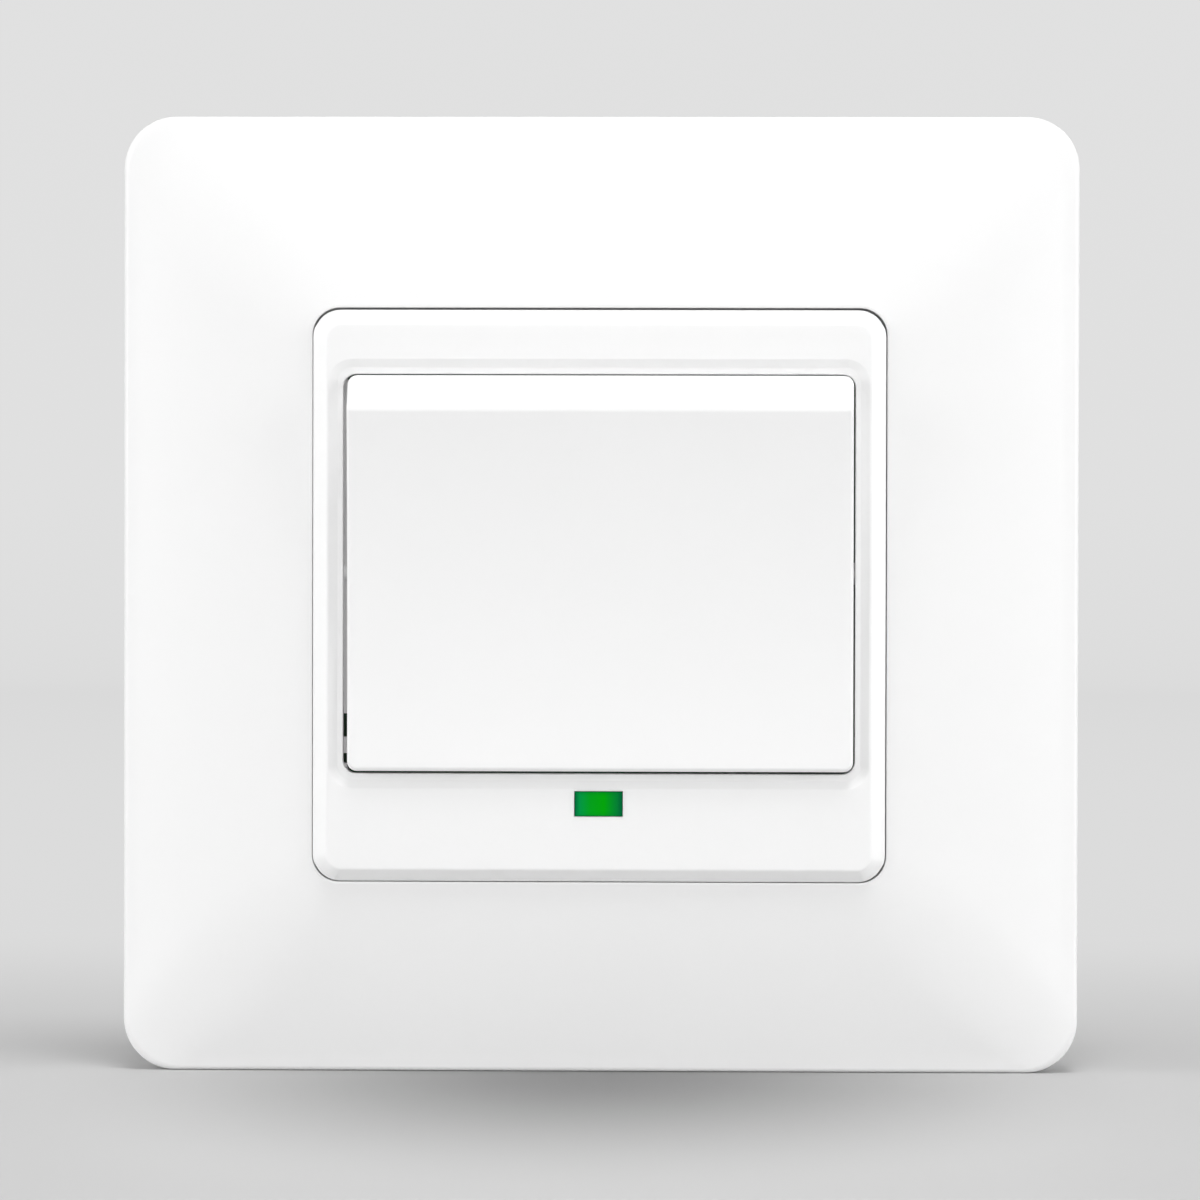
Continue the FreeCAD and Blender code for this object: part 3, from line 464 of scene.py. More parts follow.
def fascia_section():
    """Closed cross-section of the front half of the module."""
    half, corner = INSERT_HALF, INSERT_CORNER
    lap_half, lap_corner, lap_back, lap_front = 24.48, 1.4, 5.0, 6.1
    pocket_half, pocket_corner, pocket_front = 23.48, 0.3, 9.4
    flange_half, flange_corner, flange_gap, flange_thick = 26.5, 3.5, 0.12, 1.0
    flange_high = crown_out(flange_half, FRAME_WALL) - flange_gap
    flange_low = flange_high - flange_thick
    side_front, bevel_back, bevel_foot = 9.9, 10.04, 0.02
    rings = [
        (lap_half, lap_half, lap_back, lap_corner, 0),
        (half, half, lap_back, corner, 0),
        (half, half, flange_low, corner, 0),
        (flange_half, flange_half, flange_low, flange_corner, 0),
        (flange_half, flange_half, flange_high, flange_corner, 0),
        (half, half, flange_high, corner, 0),
        (half, half, side_front, corner, 0),
        (half - bevel_foot, half - bevel_foot, bevel_back, corner - bevel_foot, 0),
    ]
    bevel_in, bevel_drop, bevel_round, flat_raised = 1.2, 1.2, 0.35, -0.1
    slope = math.degrees(math.atan2(bevel_drop, bevel_in))
    setback = bevel_round * math.tan(math.radians(slope) / 2)
    flat_half = half - bevel_in - setback
    round_steps, corner_share = 6, 0.9
    for index in range(round_steps + 1):
        angle = math.radians(slope * (1 - index / round_steps))
        inset = flat_half + bevel_round * math.sin(angle)
        out = FACE_OUT - bevel_round * (1 - math.cos(angle))
        rings.append((inset, inset, out, corner - (half - inset) * corner_share, flat_raised))
    flat_corner, flat_land = 1.2, 0.08
    flat_inner = flat_half - flat_land
    rings.append((flat_inner, flat_inner, FACE_OUT, flat_corner, flat_raised))
    tray_w, tray_h, tray_corner, floor_out = 24.0, 19.1, 2.0, 10.9
    tray_border = [
        (0.06, 0.0, FACE_OUT),
        (-0.02, 0.0, FACE_OUT - 0.015),
        (-0.66, 0.66, floor_out + 0.015),
        (-0.76, 0.76, floor_out),
    ]
    for reach, tighter, out in tray_border:
        rings.append((tray_w + reach, tray_h + reach, out, tray_corner - tighter, ROCKER_RAISED))
    hole_corner, lip, lip_steps = 1.15, 0.12, 3
    for index in range(lip_steps + 1):
        angle = math.radians(90 - 90 * index / lip_steps)
        inset = lip * (1 - math.cos(angle))
        out = floor_out - lip * (1 - math.sin(angle))
        rings.append((HOLE_HALF_W + inset, HOLE_HALF_H + inset, out, hole_corner + inset, ROCKER_RAISED))
    rings += [
        (HOLE_HALF_W, HOLE_HALF_H, pocket_front, hole_corner, ROCKER_RAISED),
        (pocket_half, pocket_half, pocket_front, pocket_corner, 0),
        (pocket_half, pocket_half, lap_front, pocket_corner, 0),
        (lap_half, lap_half, lap_front, lap_corner, 0),
    ]
    return rings


fascia = rounded_ring("fascia_shell", fascia_section(), white_face, 10, 14)

# %% [markdown]
# A module that clicks into its frame never sits quite in the middle: the gap round this insert is
# wider above than below, and its two sides stand out by a hair. Both are moves of finished points.

# %% How the insert is seated
SEAT_SHIFT = Vector((-0.02, 0.0, -0.06))
OUTER_SIDES_FROM, OUTER_SIDES_SWELL = 25.3, 0.06
for vert in fascia.data.vertices:
    if abs(vert.co.x) > OUTER_SIDES_FROM * MM:
        vert.co.x += math.copysign(OUTER_SIDES_SWELL, vert.co.x) * MM
    vert.co += SEAT_SHIFT * MM
print("insert seated off the middle by", list(SEAT_SHIFT), "mm")

# %% [markdown]
# The indicator's window and the guide walls are cut and joined with exact booleans, the way the
# mould maker would add an insert to the tool: the cutter is a plain block, and only its cut shows.
# The guide walls stand round the aperture and keep the rocker in line. The side ones have two
# notches, which show dark beside the rocker's foot, and the left one has a ledge that light reaches.

# %% Blocks as cutters and walls
def block(name, low, high):
    """A block between two corners given in millimetres as (x, out, z)."""
    mesh = bpy.data.meshes.new(name)
    work = bmesh.new()
    bmesh.ops.create_cube(work, size=1.0)
    for vert in work.verts:
        part = [(low[i] + high[i]) / 2 + vert.co[i] * (high[i] - low[i]) for i in range(3)]
        vert.co = Vector((part[0], -part[1], part[2])) * MM
    face_outwards(work)
    work.to_mesh(mesh)
    work.free()
    return new_object(name, mesh)


def combine(obj, others, operation):
    """Cut or join other closed shapes with an exact boolean, then throw the tools away."""
    for other in others:
        modifier = obj.modifiers.new("combine", "BOOLEAN")
        modifier.operation = operation
        modifier.solver = "EXACT"
        modifier.object = other
    bake_modifiers(obj)
    for other in others:
        bpy.data.objects.remove(other)
    return obj


# %% Window
LENS_HALF_W, LENS_HALF_H, LENS_Z = 2.125, 1.095, -18.56
WINDOW_GAP, WINDOW_BACK, WINDOW_FRONT = 0.04, 8.0, 12.0
window_w, window_h = LENS_HALF_W + WINDOW_GAP, LENS_HALF_H + WINDOW_GAP
window_low = (-window_w, WINDOW_BACK, LENS_Z - window_h)
window_high = (window_w, WINDOW_FRONT, LENS_Z + window_h)
combine(fascia, [block("window", window_low, window_high)], "DIFFERENCE")

# %% Guide walls
GUIDE_BACK, GUIDE_FRONT, GUIDE_OUTER = 7.6, 9.5, 23.55
GUIDE_TOP_HALF, GUIDE_TOP_WALL = 20.0, 0.9
GUIDE_SPANS = [(-15.825, -15.05), (-14.15, -12.7), (-10.6, 17.7)]
LEDGE_INNER, LEDGE_FRONT, LEDGE_HEAD = 22.47, 9.75, 19.2
hole_top = ROCKER_RAISED + HOLE_HALF_H
top_low = (-GUIDE_TOP_HALF, GUIDE_BACK, hole_top)
top_high = (GUIDE_TOP_HALF, GUIDE_FRONT, hole_top + GUIDE_TOP_WALL)
walls = [block("guide_top", top_low, top_high)]
for side in (-1, 1):
    inner, outer = sorted((side * HOLE_HALF_W, side * GUIDE_OUTER))
    for low, high in GUIDE_SPANS:
        walls.append(block("guide_side", (inner, GUIDE_BACK, low), (outer, GUIDE_FRONT, high)))
for low, high in GUIDE_SPANS[:2] + [(GUIDE_SPANS[2][0], LEDGE_HEAD)]:
    walls.append(block("guide_ledge", (-GUIDE_OUTER, GUIDE_BACK, low), (-LEDGE_INNER, LEDGE_FRONT, high)))
combine(fascia, walls, "UNION")
print("fascia open edges:", point_outwards(fascia, SHARP_DEGREES))
flat_shaded_evenly(fascia)
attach(fascia, "housing")
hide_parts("fascia")

# %% [markdown]
# ## The rocker
# The rocker is a hollow cap. From the side it is a long face, dished so gently that only its
# shading tells, up to a ridge near the head, and then a steep bevel down to the head. The section
# is extruded across, its upright corners and its front edges are rounded with bevels, and the
# hollow, the pivot stubs and the press pads are added as closed shapes.

# %% The rocker's section from the side
ROCKER_HALF_W, ROCKER_HALF_H = 22.5, 17.6
ROCKER_WALL, HOLLOW_HALF_W = 1.5, 20.9
BEVEL_HEIGHT = 2.97
FOOT_OUT, RIDGE_OUT, HEAD_OUT, SKIRT_OUT = 12.2, 14.5, 11.7, 8.4
DISH_RADIUS, DISH_LOW = 150.0, 5.3


def rocker_section(inset):
    """Side section (z, out) in millimetres about the rocker's middle."""
    foot, head = -ROCKER_HALF_H, ROCKER_HALF_H
    ridge = head - BEVEL_HEIGHT
    radius = DISH_RADIUS
    hollow_z = DISH_LOW + foot
    lowest = FOOT_OUT - (radius - math.sqrt(radius**2 - (foot - hollow_z) ** 2))

    def dish(z):
        return lowest + radius - math.sqrt((radius + inset) ** 2 - (z - hollow_z) ** 2)

    slope = (RIDGE_OUT - HEAD_OUT) / BEVEL_HEIGHT
    drop = inset * math.sqrt(1 + slope**2)
    crest_share, steps = 0.6, 28
    crest = ridge - inset * crest_share
    face = [foot + inset + (crest - foot - inset) * index / steps for index in range(steps + 1)]
    points = [(foot + inset, SKIRT_OUT - inset)]
    points += [(z, dish(z)) for z in face]
    points.append((head - inset, RIDGE_OUT - slope * (head - inset - ridge) - drop))
    points.append((head - inset, SKIRT_OUT - inset))
    return points


print("rocker section points:", len(rocker_section(0.0)))

# %% [markdown]
# Two small builders follow: one carries a closed section across the part, one makes a round post.
# Both could be primitives, but a mesh made point by point has its place in its points from the
# start, so the object itself stays at the origin. Bevels then pick their edges by a plain test.

# %% Sections, posts and rounded edges
def extruded(name, section, half_width, shift):
    """The section carried across X, raised to the rocker's place."""
    work = bmesh.new()
    rows = []
    for x in (-half_width + shift, half_width + shift):
        rows.append([work.verts.new(Vector((x, -out, z + ROCKER_RAISED)) * MM) for z, out in section])
    count = len(section)
    for index in range(count):
        after = (index + 1) % count
        work.faces.new((rows[0][index], rows[0][after], rows[1][after], rows[1][index]))
    work.faces.new(rows[0])
    work.faces.new(rows[1])
    face_outwards(work)
    mesh = bpy.data.meshes.new(name)
    work.to_mesh(mesh)
    work.free()
    return new_object(name, mesh)


def bevelled(obj, chosen, width, segments):
    """Round the chosen edges; chosen is a test on an edge."""
    work = bmesh.new()
    work.from_mesh(obj.data)
    edges = [edge for edge in work.edges if chosen(edge)]
    bmesh.ops.bevel(
        work, geom=edges, offset=width * MM, offset_type="OFFSET", segments=segments,
        profile=0.5, affect="EDGES", clamp_overlap=True, miter_outer="SHARP",
    )
    work.to_mesh(obj.data)
    work.free()
    return len(edges)


def is_upright(edge):
    """An edge that runs straight out from the wall."""
    run = edge.verts[1].co - edge.verts[0].co
    return abs(run.y) > 1 * MM and abs(run.x) < 0.2 * MM and abs(run.z) < SAME_POINT


def is_front(edge):
    """An edge of the rocker's front, where two faces really turn."""
    skirt_part, real_turn = 9.4 * MM, math.radians(16)
    in_front = min(-v.co.y for v in edge.verts) > skirt_part
    return in_front and not is_upright(edge) and edge.calc_face_angle(0) > real_turn


def round_post(name, radius, low, high, across, segments=32):
    """A closed cylinder between two points in (x, out, z) millimetres; across is 'x' or 'out'."""
    work = bmesh.new()
    rings = []
    for end in (low, high):
        ring = []
        for index in range(segments):
            angle = 2 * math.pi * index / segments
            a, b = radius * math.cos(angle), radius * math.sin(angle)
            x, out, z = end
            point = (x, out + a, z + b) if across == "x" else (x + a, out, z + b)
            ring.append(work.verts.new(Vector((point[0], -point[1], point[2])) * MM))
        rings.append(ring)
    for index in range(segments):
        after = (index + 1) % segments
        work.faces.new((rings[0][index], rings[0][after], rings[1][after], rings[1][index]))
    work.faces.new(rings[0])
    work.faces.new(rings[1])
    face_outwards(work)
    mesh = bpy.data.meshes.new(name)
    work.to_mesh(mesh)
    work.free()
    return new_object(name, mesh)


# %% [markdown]
# The cap's sides lean in a little past the head, as a part has to if it is to leave its mould, and
# it lies 0.12 mm to the right in its aperture. The hollow is the same section, set in by the wall.

# %% Rocker
SIDE_PLAY, SIDE_LEAN = 0.12, 0.03
CAP_CORNER, CAP_EDGE = 0.85, 0.4
STUB_RADIUS, STUB_ROOT, STUB_TIP, PIVOT_OUT = 1.0, 21.6, 24.05, 9.0
PAD_RADIUS, PAD_LOW, PAD_HIGH, PAD_ARM = 2.2, 10.2, 11.6, 12.0
rocker = extruded("rocker_cap", rocker_section(0.0), ROCKER_HALF_W, SIDE_PLAY)
rocker.data.materials.append(white_rocker)
for vert in rocker.data.vertices:
    past_head = max(0.0, -vert.co.y - HEAD_OUT * MM)
    vert.co.x -= math.copysign(SIDE_LEAN * past_head, vert.co.x - SIDE_PLAY * MM)
print("upright corners:", bevelled(rocker, is_upright, CAP_CORNER, 6))
print("front edges:", bevelled(rocker, is_front, CAP_EDGE, 5))
hollow = extruded("rocker_hollow", rocker_section(ROCKER_WALL), HOLLOW_HALF_W, SIDE_PLAY)
combine(rocker, [hollow], "DIFFERENCE")
additions = []
for side in (-1, 1):
    root = (SIDE_PLAY + side * STUB_ROOT, PIVOT_OUT, ROCKER_RAISED)
    tip = (side * STUB_TIP, PIVOT_OUT, ROCKER_RAISED)
    additions.append(round_post("pivot_stub", STUB_RADIUS, root, tip, "x"))
for side in (-1, 1):
    pad_z = ROCKER_RAISED + side * PAD_ARM
    pad_ends = (0.0, PAD_LOW, pad_z), (0.0, PAD_HIGH, pad_z)
    additions.append(round_post("press_pad", PAD_RADIUS, *pad_ends, "out"))
combine(rocker, additions, "UNION")
print("rocker open edges:", point_outwards(rocker, SHARP_DEGREES))
flat_shaded_evenly(rocker)
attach(rocker, "rocker_body")
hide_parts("rocker")

# %% [markdown]
# ## The indicator
# A small green light pipe of clear plastic over a green light, flush with the face. The light's glow is
# painted into the pipe's colour: pure green in the middle, bluer and darker towards its ends, with painted
# shade along its rim, so its colour follows X and Z on the piece. Real glowing light could do this too,
# but a painted colour stays the same in any light.

# %% The light pipe's painted glow
def lens_material():
    """Green plastic with the light's glow painted in: bright in the middle, teal towards the two ends,
    with painted shade along its edges.
    """
    material = bpy.data.materials.new("green_pipe_painted_glow")
    material.use_nodes = True
    tree = material.node_tree
    shader = tree.nodes["Principled BSDF"]
    shader.inputs["IOR"].default_value = PLASTIC_IOR
    shader.inputs["Roughness"].default_value = 0.3
    shader.inputs["Specular IOR Level"].default_value = 0.02
    place = tree.nodes.new("ShaderNodeTexCoord").outputs["Object"]
    parts = tree.nodes.new("ShaderNodeSeparateXYZ")
    tree.links.new(place, parts.inputs[0])
    half_long, half_tall = 2.1 * MM, 1.12 * MM
    end_falloff, edge_falloff, rim_shade_strength = 12.0, 8.0, 0.8
    side = maths(tree, "DIVIDE", parts.outputs[0], half_long)
    share = maths(tree, "MULTIPLY_ADD", side, 0.5, 0.5)
    # The ramp is painted glow: brightest green in the middle, where the light behind shines through.
    ramp = tree.nodes.new("ShaderNodeValToRGB")
    stops = [
        (0.0, (0.0, 0.16, 0.045, 1)),
        (0.10, (0.0, 0.29, 0.055, 1)),
        (0.32, (0.0, 0.33, 0.010, 1)),
        (0.62, (0.0, 0.35, 0.001, 1)),
        (0.86, (0.0, 0.22, 0.028, 1)),
        (1.0, (0.0, 0.13, 0.040, 1)),
    ]
    set_stops(ramp, stops)
    tree.links.new(share, ramp.inputs[0])
    up = maths(tree, "DIVIDE", maths(tree, "SUBTRACT", parts.outputs[2], LENS_Z * MM), half_tall)
    # Painted shade: the colour darkens towards the ends and along the top and bottom edges.
    near_ends = maths(tree, "POWER", maths(tree, "ABSOLUTE", side), end_falloff)
    near_edges = maths(tree, "POWER", maths(tree, "ABSOLUTE", up), edge_falloff)
    rim = maths(tree, "MAXIMUM", near_ends, near_edges)
    edge = tree.nodes.new("ShaderNodeMix")
    edge.data_type = "RGBA"
    edge.inputs["B"].default_value = (0.0, 0.10, 0.030, 1)
    tree.links.new(ramp.outputs[0], edge.inputs["A"])
    tree.links.new(maths(tree, "MULTIPLY", rim, rim_shade_strength), edge.inputs["Factor"])
    tree.links.new(edge.outputs["Result"], shader.inputs["Base Color"])
    return material


green_pipe_painted_glow = lens_material()
print("light pipe material:", green_pipe_painted_glow.name)

# %% Indicator lens
LENS_BACK, FLANGE_BACK, FLANGE_FRONT, FLANGE_REACH = 8.1, 8.45, 9.35, 0.6
LENS_EDGE, LENS_SHARP_DEGREES = 0.05, 20.0


def lens_block(name, reach, back, front):
    """A block of the light pipe's own width and height, set out by reach on every side."""
    w, h = LENS_HALF_W + reach, LENS_HALF_H + reach
    return block(name, (-w, back, LENS_Z - h), (w, front, LENS_Z + h))


def is_lens_front(edge):
    """The four edges round the visible face."""
    return min(-v.co.y for v in edge.verts) > (FACE_OUT - 0.1) * MM


lens = lens_block("indicator_light_pipe", 0.0, LENS_BACK, FACE_OUT)
lens.data.materials.append(green_pipe_painted_glow)
combine(lens, [lens_block("flange", FLANGE_REACH, FLANGE_BACK, FLANGE_FRONT)], "UNION")
print("lens edges:", bevelled(lens, is_lens_front, LENS_EDGE, 1))
print("lens open edges:", point_outwards(lens, LENS_SHARP_DEGREES))
flat_shaded_evenly(lens)
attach(lens, "housing")
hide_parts("indicator_lens")

# %% [markdown]
# ## The mouldings behind
# The wall plate, the rear case and the battery door keep the shapes of the CAD model. They could
# be modelled anew, but only their edges are wrong for a moulding, which is never knife sharp. So
# each is copied, its loose triangles are merged into whole faces, and a Bevel modifier breaks the
# sharp edges by about a tenth of a millimetre.

# %% Softened copies of CAD parts
WHOLE_POINT, FLAT_DEGREES = 2e-6, 0.5


def softened(node_name, piece_name, edge, body, finish):
    """A merged copy of a CAD node with its sharp edges broken, riding on the node's body."""
    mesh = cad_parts[node_name].data.copy()
    work = bmesh.new()
    work.from_mesh(mesh)
    bmesh.ops.remove_doubles(work, verts=work.verts, dist=WHOLE_POINT)
    flat = math.radians(FLAT_DEGREES)
    bmesh.ops.dissolve_limit(work, angle_limit=flat, verts=work.verts, edges=work.edges)
    work.to_mesh(mesh)
    work.free()
    obj = new_object(piece_name, mesh)
    mesh.materials.clear()
    mesh.materials.append(finish)
    bevel = obj.modifiers.new("broken_edges", "BEVEL")
    bevel.width = edge * MM
    bevel.segments = 2
    bevel.limit_method = "ANGLE"
    bevel.angle_limit = math.radians(SHARP_DEGREES)
    bevel.use_clamp_overlap = True
    bake_modifiers(obj)
    print(piece_name, "faces:", len(obj.data.polygons), "open edges:", point_outwards(obj, SHARP_DEGREES))
    flat_shaded_evenly(obj)
    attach(obj, body)
    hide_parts(node_name)
    return obj


softened("wall_plate", "wall_plate_moulding", 0.15, "housing", white_case)
softened("rear_case", "rear_case_moulding", 0.10, "housing", white_case)
softened("battery_door", "battery_door_moulding", 0.10, "door_body", white_case)

# %% [markdown]
# ## Screws and tape pads
# Four equal screws and four equal pads: each is made once and set on four points by a small
# Geometry Nodes tree, which also turns each copy by a random amount when asked, because no one
# drives four screws to the same angle.

# %% Copies on points
def copies_tree():
    """Geometry Nodes that set copies of one part on points, each with its own turn."""
    tree = bpy.data.node_groups.new("copies_on_points", "GeometryNodeTree")
    face = tree.interface
    face.new_socket(name="Points", in_out="INPUT", socket_type="NodeSocketGeometry")
    face.new_socket(name="Part", in_out="INPUT", socket_type="NodeSocketObject")
    face.new_socket(name="Most turn", in_out="INPUT", socket_type="NodeSocketFloat")
    face.new_socket(name="Seed", in_out="INPUT", socket_type="NodeSocketInt")
    face.new_socket(name="Finish", in_out="INPUT", socket_type="NodeSocketMaterial")
    face.new_socket(name="Copies", in_out="OUTPUT", socket_type="NodeSocketGeometry")
    start = tree.nodes.new("NodeGroupInput").outputs
    end = tree.nodes.new("NodeGroupOutput").inputs
    part = tree.nodes.new("GeometryNodeObjectInfo")
    tree.links.new(start["Part"], part.inputs["Object"])
    turn = tree.nodes.new("FunctionNodeRandomValue")
    tree.links.new(start["Most turn"], turn.inputs[3])
    tree.links.new(start["Seed"], turn.inputs["Seed"])
    about_y = tree.nodes.new("ShaderNodeCombineXYZ")
    tree.links.new(turn.outputs[1], about_y.inputs[1])
    spread = tree.nodes.new("GeometryNodeInstanceOnPoints")
    tree.links.new(start["Points"], spread.inputs["Points"])
    tree.links.new(part.outputs["Geometry"], spread.inputs["Instance"])
    tree.links.new(about_y.outputs[0], spread.inputs["Rotation"])
    real = tree.nodes.new("GeometryNodeRealizeInstances")
    tree.links.new(spread.outputs[0], real.inputs[0])
    painted = tree.nodes.new("GeometryNodeSetMaterial")
    tree.links.new(real.outputs[0], painted.inputs["Geometry"])
    tree.links.new(start["Finish"], painted.inputs["Material"])
    tree.links.new(painted.outputs[0], end["Copies"])
    return tree


copies = copies_tree()


def on_four_corners(name, part, place, finish, most_turn=0.0):
    """Four copies of a part at (+-x, +-z) millimetres; the single part is thrown away."""
    x, z = place
    mesh = bpy.data.meshes.new(name)
    points = [(sx * x * MM, 0.0, sz * z * MM) for sx in (-1, 1) for sz in (-1, 1)]
    mesh.from_pydata(points, [], [])
    obj = new_object(name, mesh)
    modifier = obj.modifiers.new("copies", "NODES")
    modifier.node_group = copies
    set_inputs(modifier, Part=part, Most_turn=most_turn, Seed=4, Finish=finish)
    bake_modifiers(obj)
    bpy.data.objects.remove(part)
    print(name, "faces:", len(obj.data.polygons), "open edges:", point_outwards(obj, SHARP_DEGREES))
    return obj


# %% [markdown]
# A screw could be a Screw modifier's work, but a thread that runs out at its tip is easier ring by
# ring: each point's radius says how near it is to the crest that winds round the core.

# %% One pan head screw
HEAD_BACK, HEAD_FRONT, SCREW_TIP = 1.7, 2.8, 9.6
SLOT_HALF, SLOT_START, SLOT_FLOOR, SLOT_REACH = 0.25, 1.0, 2.3, 2.0
THREAD_PITCH, THREAD_CORE, THREAD_CREST, TOOTH_HALF = 0.9, 0.62, 0.85, 0.3
RUN_OUT, TIP_SHARE = 0.6, 0.25


def thread_radius(out, turn_share):
    """Distance of the thread's surface from the screw's axis, shrinking near the tip."""
    near_end = min(1.0, (SCREW_TIP - out) / RUN_OUT)
    phase = (out / THREAD_PITCH - turn_share) % 1.0
    tooth = max(0.0, 1 - abs(phase - 0.5) / TOOTH_HALF)
    radius = THREAD_CORE + (THREAD_CREST - THREAD_CORE) * tooth * near_end
    return radius * (1 - TIP_SHARE + TIP_SHARE * near_end)


def pan_head_screw():
    """One screw: pan head towards the wall, slot across it, and a turned thread."""
    around, along = 24, 90
    profile = [
        (0.5, HEAD_BACK),
        (1.1, HEAD_BACK + 0.06),
        (1.45, HEAD_BACK + 0.28),
        (1.6, HEAD_BACK + 0.6),
        (1.6, HEAD_FRONT),
    ]
    work = bmesh.new()
    rings = []
    for radius, out in profile:
        rings.append([(radius, out)] * around)
    for index in range(along + 1):
        out = HEAD_FRONT + (SCREW_TIP - HEAD_FRONT) * index / along
        rings.append([(thread_radius(out, turn / around), out) for turn in range(around)])
    rows = []
    for ring in rings:
        row = []
        for turn, (radius, out) in enumerate(ring):
            angle = 2 * math.pi * turn / around
            across, up = radius * math.cos(angle), radius * math.sin(angle)
            row.append(work.verts.new(Vector((across, -out, up)) * MM))
        rows.append(row)
    for low, high in zip(rows, rows[1:]):
        for turn in range(around):
            after = (turn + 1) % around
            work.faces.new((low[turn], low[after], high[after], high[turn]))
    work.faces.new(rows[0])
    work.faces.new(rows[-1])
    face_outwards(work)
    mesh = bpy.data.meshes.new("pan_head_screw")
    work.to_mesh(mesh)
    work.free()
    screw = new_object("pan_head_screw", mesh)
    slot_low = (-SLOT_REACH, SLOT_START, -SLOT_HALF)
    slot_high = (SLOT_REACH, SLOT_FLOOR, SLOT_HALF)
    return combine(screw, [block("slot", slot_low, slot_high)], "DIFFERENCE")


print("thread radius from", THREAD_CORE, "to", THREAD_CREST, "mm")

# %% Screws and pads in place
PAD_HALF, PAD_THICK, PAD_ROUND = 7.5, 0.8, 0.12
SCREW_PLACE, TAPE_PLACE = (20.8, 21.38), (26.5, 26.5)


def tape_pad():
    """One foam pad with softly pressed edges."""
    pad = block("tape_pad", (-PAD_HALF, 0.0, -PAD_HALF), (PAD_HALF, PAD_THICK, PAD_HALF))
    bevelled(pad, lambda edge: True, PAD_ROUND, 2)
    return pad


screw_steel = metal_finish("screw_zinc", (0.60, 0.60, 0.58), 0.32)
screws = on_four_corners("case_screw_set", pan_head_screw(), SCREW_PLACE, screw_steel, most_turn=math.pi)
flat_shaded_evenly(screws)
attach(screws, "housing")
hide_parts("case_screws")
foam_tape = finish_material("grey_foam_tape", (0.62, 0.62, 0.60), 0.85, grain=0.35, depth=0.06, drift=0.12)
pads = on_four_corners("tape_pad_set", tape_pad(), TAPE_PLACE, foam_tape)
flat_shaded_evenly(pads)
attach(pads, "housing")
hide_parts("tape_pads")

# %% [markdown]
# ## The other finishes
# The rest of the parts keep their CAD shapes, and each gets the finish of what it is made of:
# a green board, a steel cell and springs, black switches and chips, tan capacitors, copper wire.
# They could be modelled finer, but they lie inside, so a true colour and sheen are enough.

# %% Finishes for the parts that keep their CAD shape
finishes = {
    "circuit_board": finish_material("green_board", (0.01, 0.12, 0.035), 0.35, grain=0.5, drift=0.2),
    "coin_cell": metal_finish("cell_steel", (0.62, 0.62, 0.60), 0.30),
    "negative_contact": metal_finish("spring_steel", (0.70, 0.68, 0.60), 0.32),
    "upper_switch": finish_material("switch_black", (0.02, 0.02, 0.02), 0.5),
    "upper_switch_stem": finish_material("stem_silicone", (0.75, 0.75, 0.73), 0.65, grain=0.2, depth=0.01),
    "indicator_led": finish_material("led_body", (0.78, 0.76, 0.60), 0.35),
    "controller_chip": finish_material("chip_black", (0.015, 0.015, 0.017), 0.6, grain=0.08, depth=0.006),
    "resonator_can": finish_material("lid_metal", (0.72, 0.70, 0.66), 0.28, metallic=1.0),
    "antenna_loop": finish_material("copper_wire", (0.85, 0.42, 0.26), 0.3, metallic=1.0),
    "chip_capacitors": finish_material("capacitor_tan", (0.50, 0.36, 0.22), 0.5),
    "chip_resistors": finish_material("resistor_black", (0.03, 0.03, 0.03), 0.45),
}
finishes["positive_contact"] = finishes["negative_contact"]
finishes["lower_switch"] = finishes["upper_switch"]
finishes["lower_switch_stem"] = finishes["upper_switch_stem"]
finishes["rf_transistor"] = finishes["controller_chip"]
for name, material in finishes.items():
    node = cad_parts[name]
    node.data.materials.clear()
    node.data.materials.append(material)
print("dressed CAD nodes:", len(finishes))

# %% [markdown]
# ## Floor and backdrop
# The switch stands on a pale sheet that runs back and curves up into the backdrop, as in a small studio.
# The sheet could be one plain matt grey, but the camera and the mirror-like reflections are to see two
# things: a painted shadow, a darker grey in an oval near the object, which deepens its real shade on the
# floor, and plain backdrop grey far behind it, which no lamp changes. All other light meets one even,
# lighter grey, and what it throws back brightens the frame's bottom side. Light Path tells the rays apart.

# %% The sheet's greys and its painted shadow
# REACH_WIDE and REACH_DEEP size the painted shadow's oval; SHADE_GREY is its darkest grey, right under the
# object.
REACH_WIDE, REACH_DEEP, MIDDLE_BACK, SHADE_END = 0.052, 0.095, 0.005, 0.97
SHADE_GREY, SHEET_GREY, BOUNCE_GREY = 0.185, 0.56, 0.58
BACKDROP_FROM, BACKDROP_FULL, BACKDROP_LENGTH = 0.0, 0.16, 2.0
BACKDROP_GREYS = [(0.0, 0.70), (0.13, 0.715), (0.26, 0.715), (0.55, 0.70), (0.75, 0.745), (1.0, 0.755)]


def plain_grey(value):
    """A grey as four colour values."""
    return (value, value, value, 1)


def mixed_colour(tree, share, first, second):
    """A mix of two colours, each a value or a socket."""
    node = tree.nodes.new("ShaderNodeMix")
    node.data_type = "RGBA"
    put(tree, node.inputs["Factor"], share)
    put(tree, node.inputs["A"], first)
    put(tree, node.inputs["B"], second)
    return node.outputs["Result"]


def smooth_step(tree, value, start, stop):
    """A soft rise from 0 to 1 between two values."""
    node = tree.nodes.new("ShaderNodeMapRange")
    node.interpolation_type = "SMOOTHSTEP"
    node.inputs["From Min"].default_value = start
    node.inputs["From Max"].default_value = stop
    tree.links.new(value, node.inputs["Value"])
    return node.outputs["Result"]


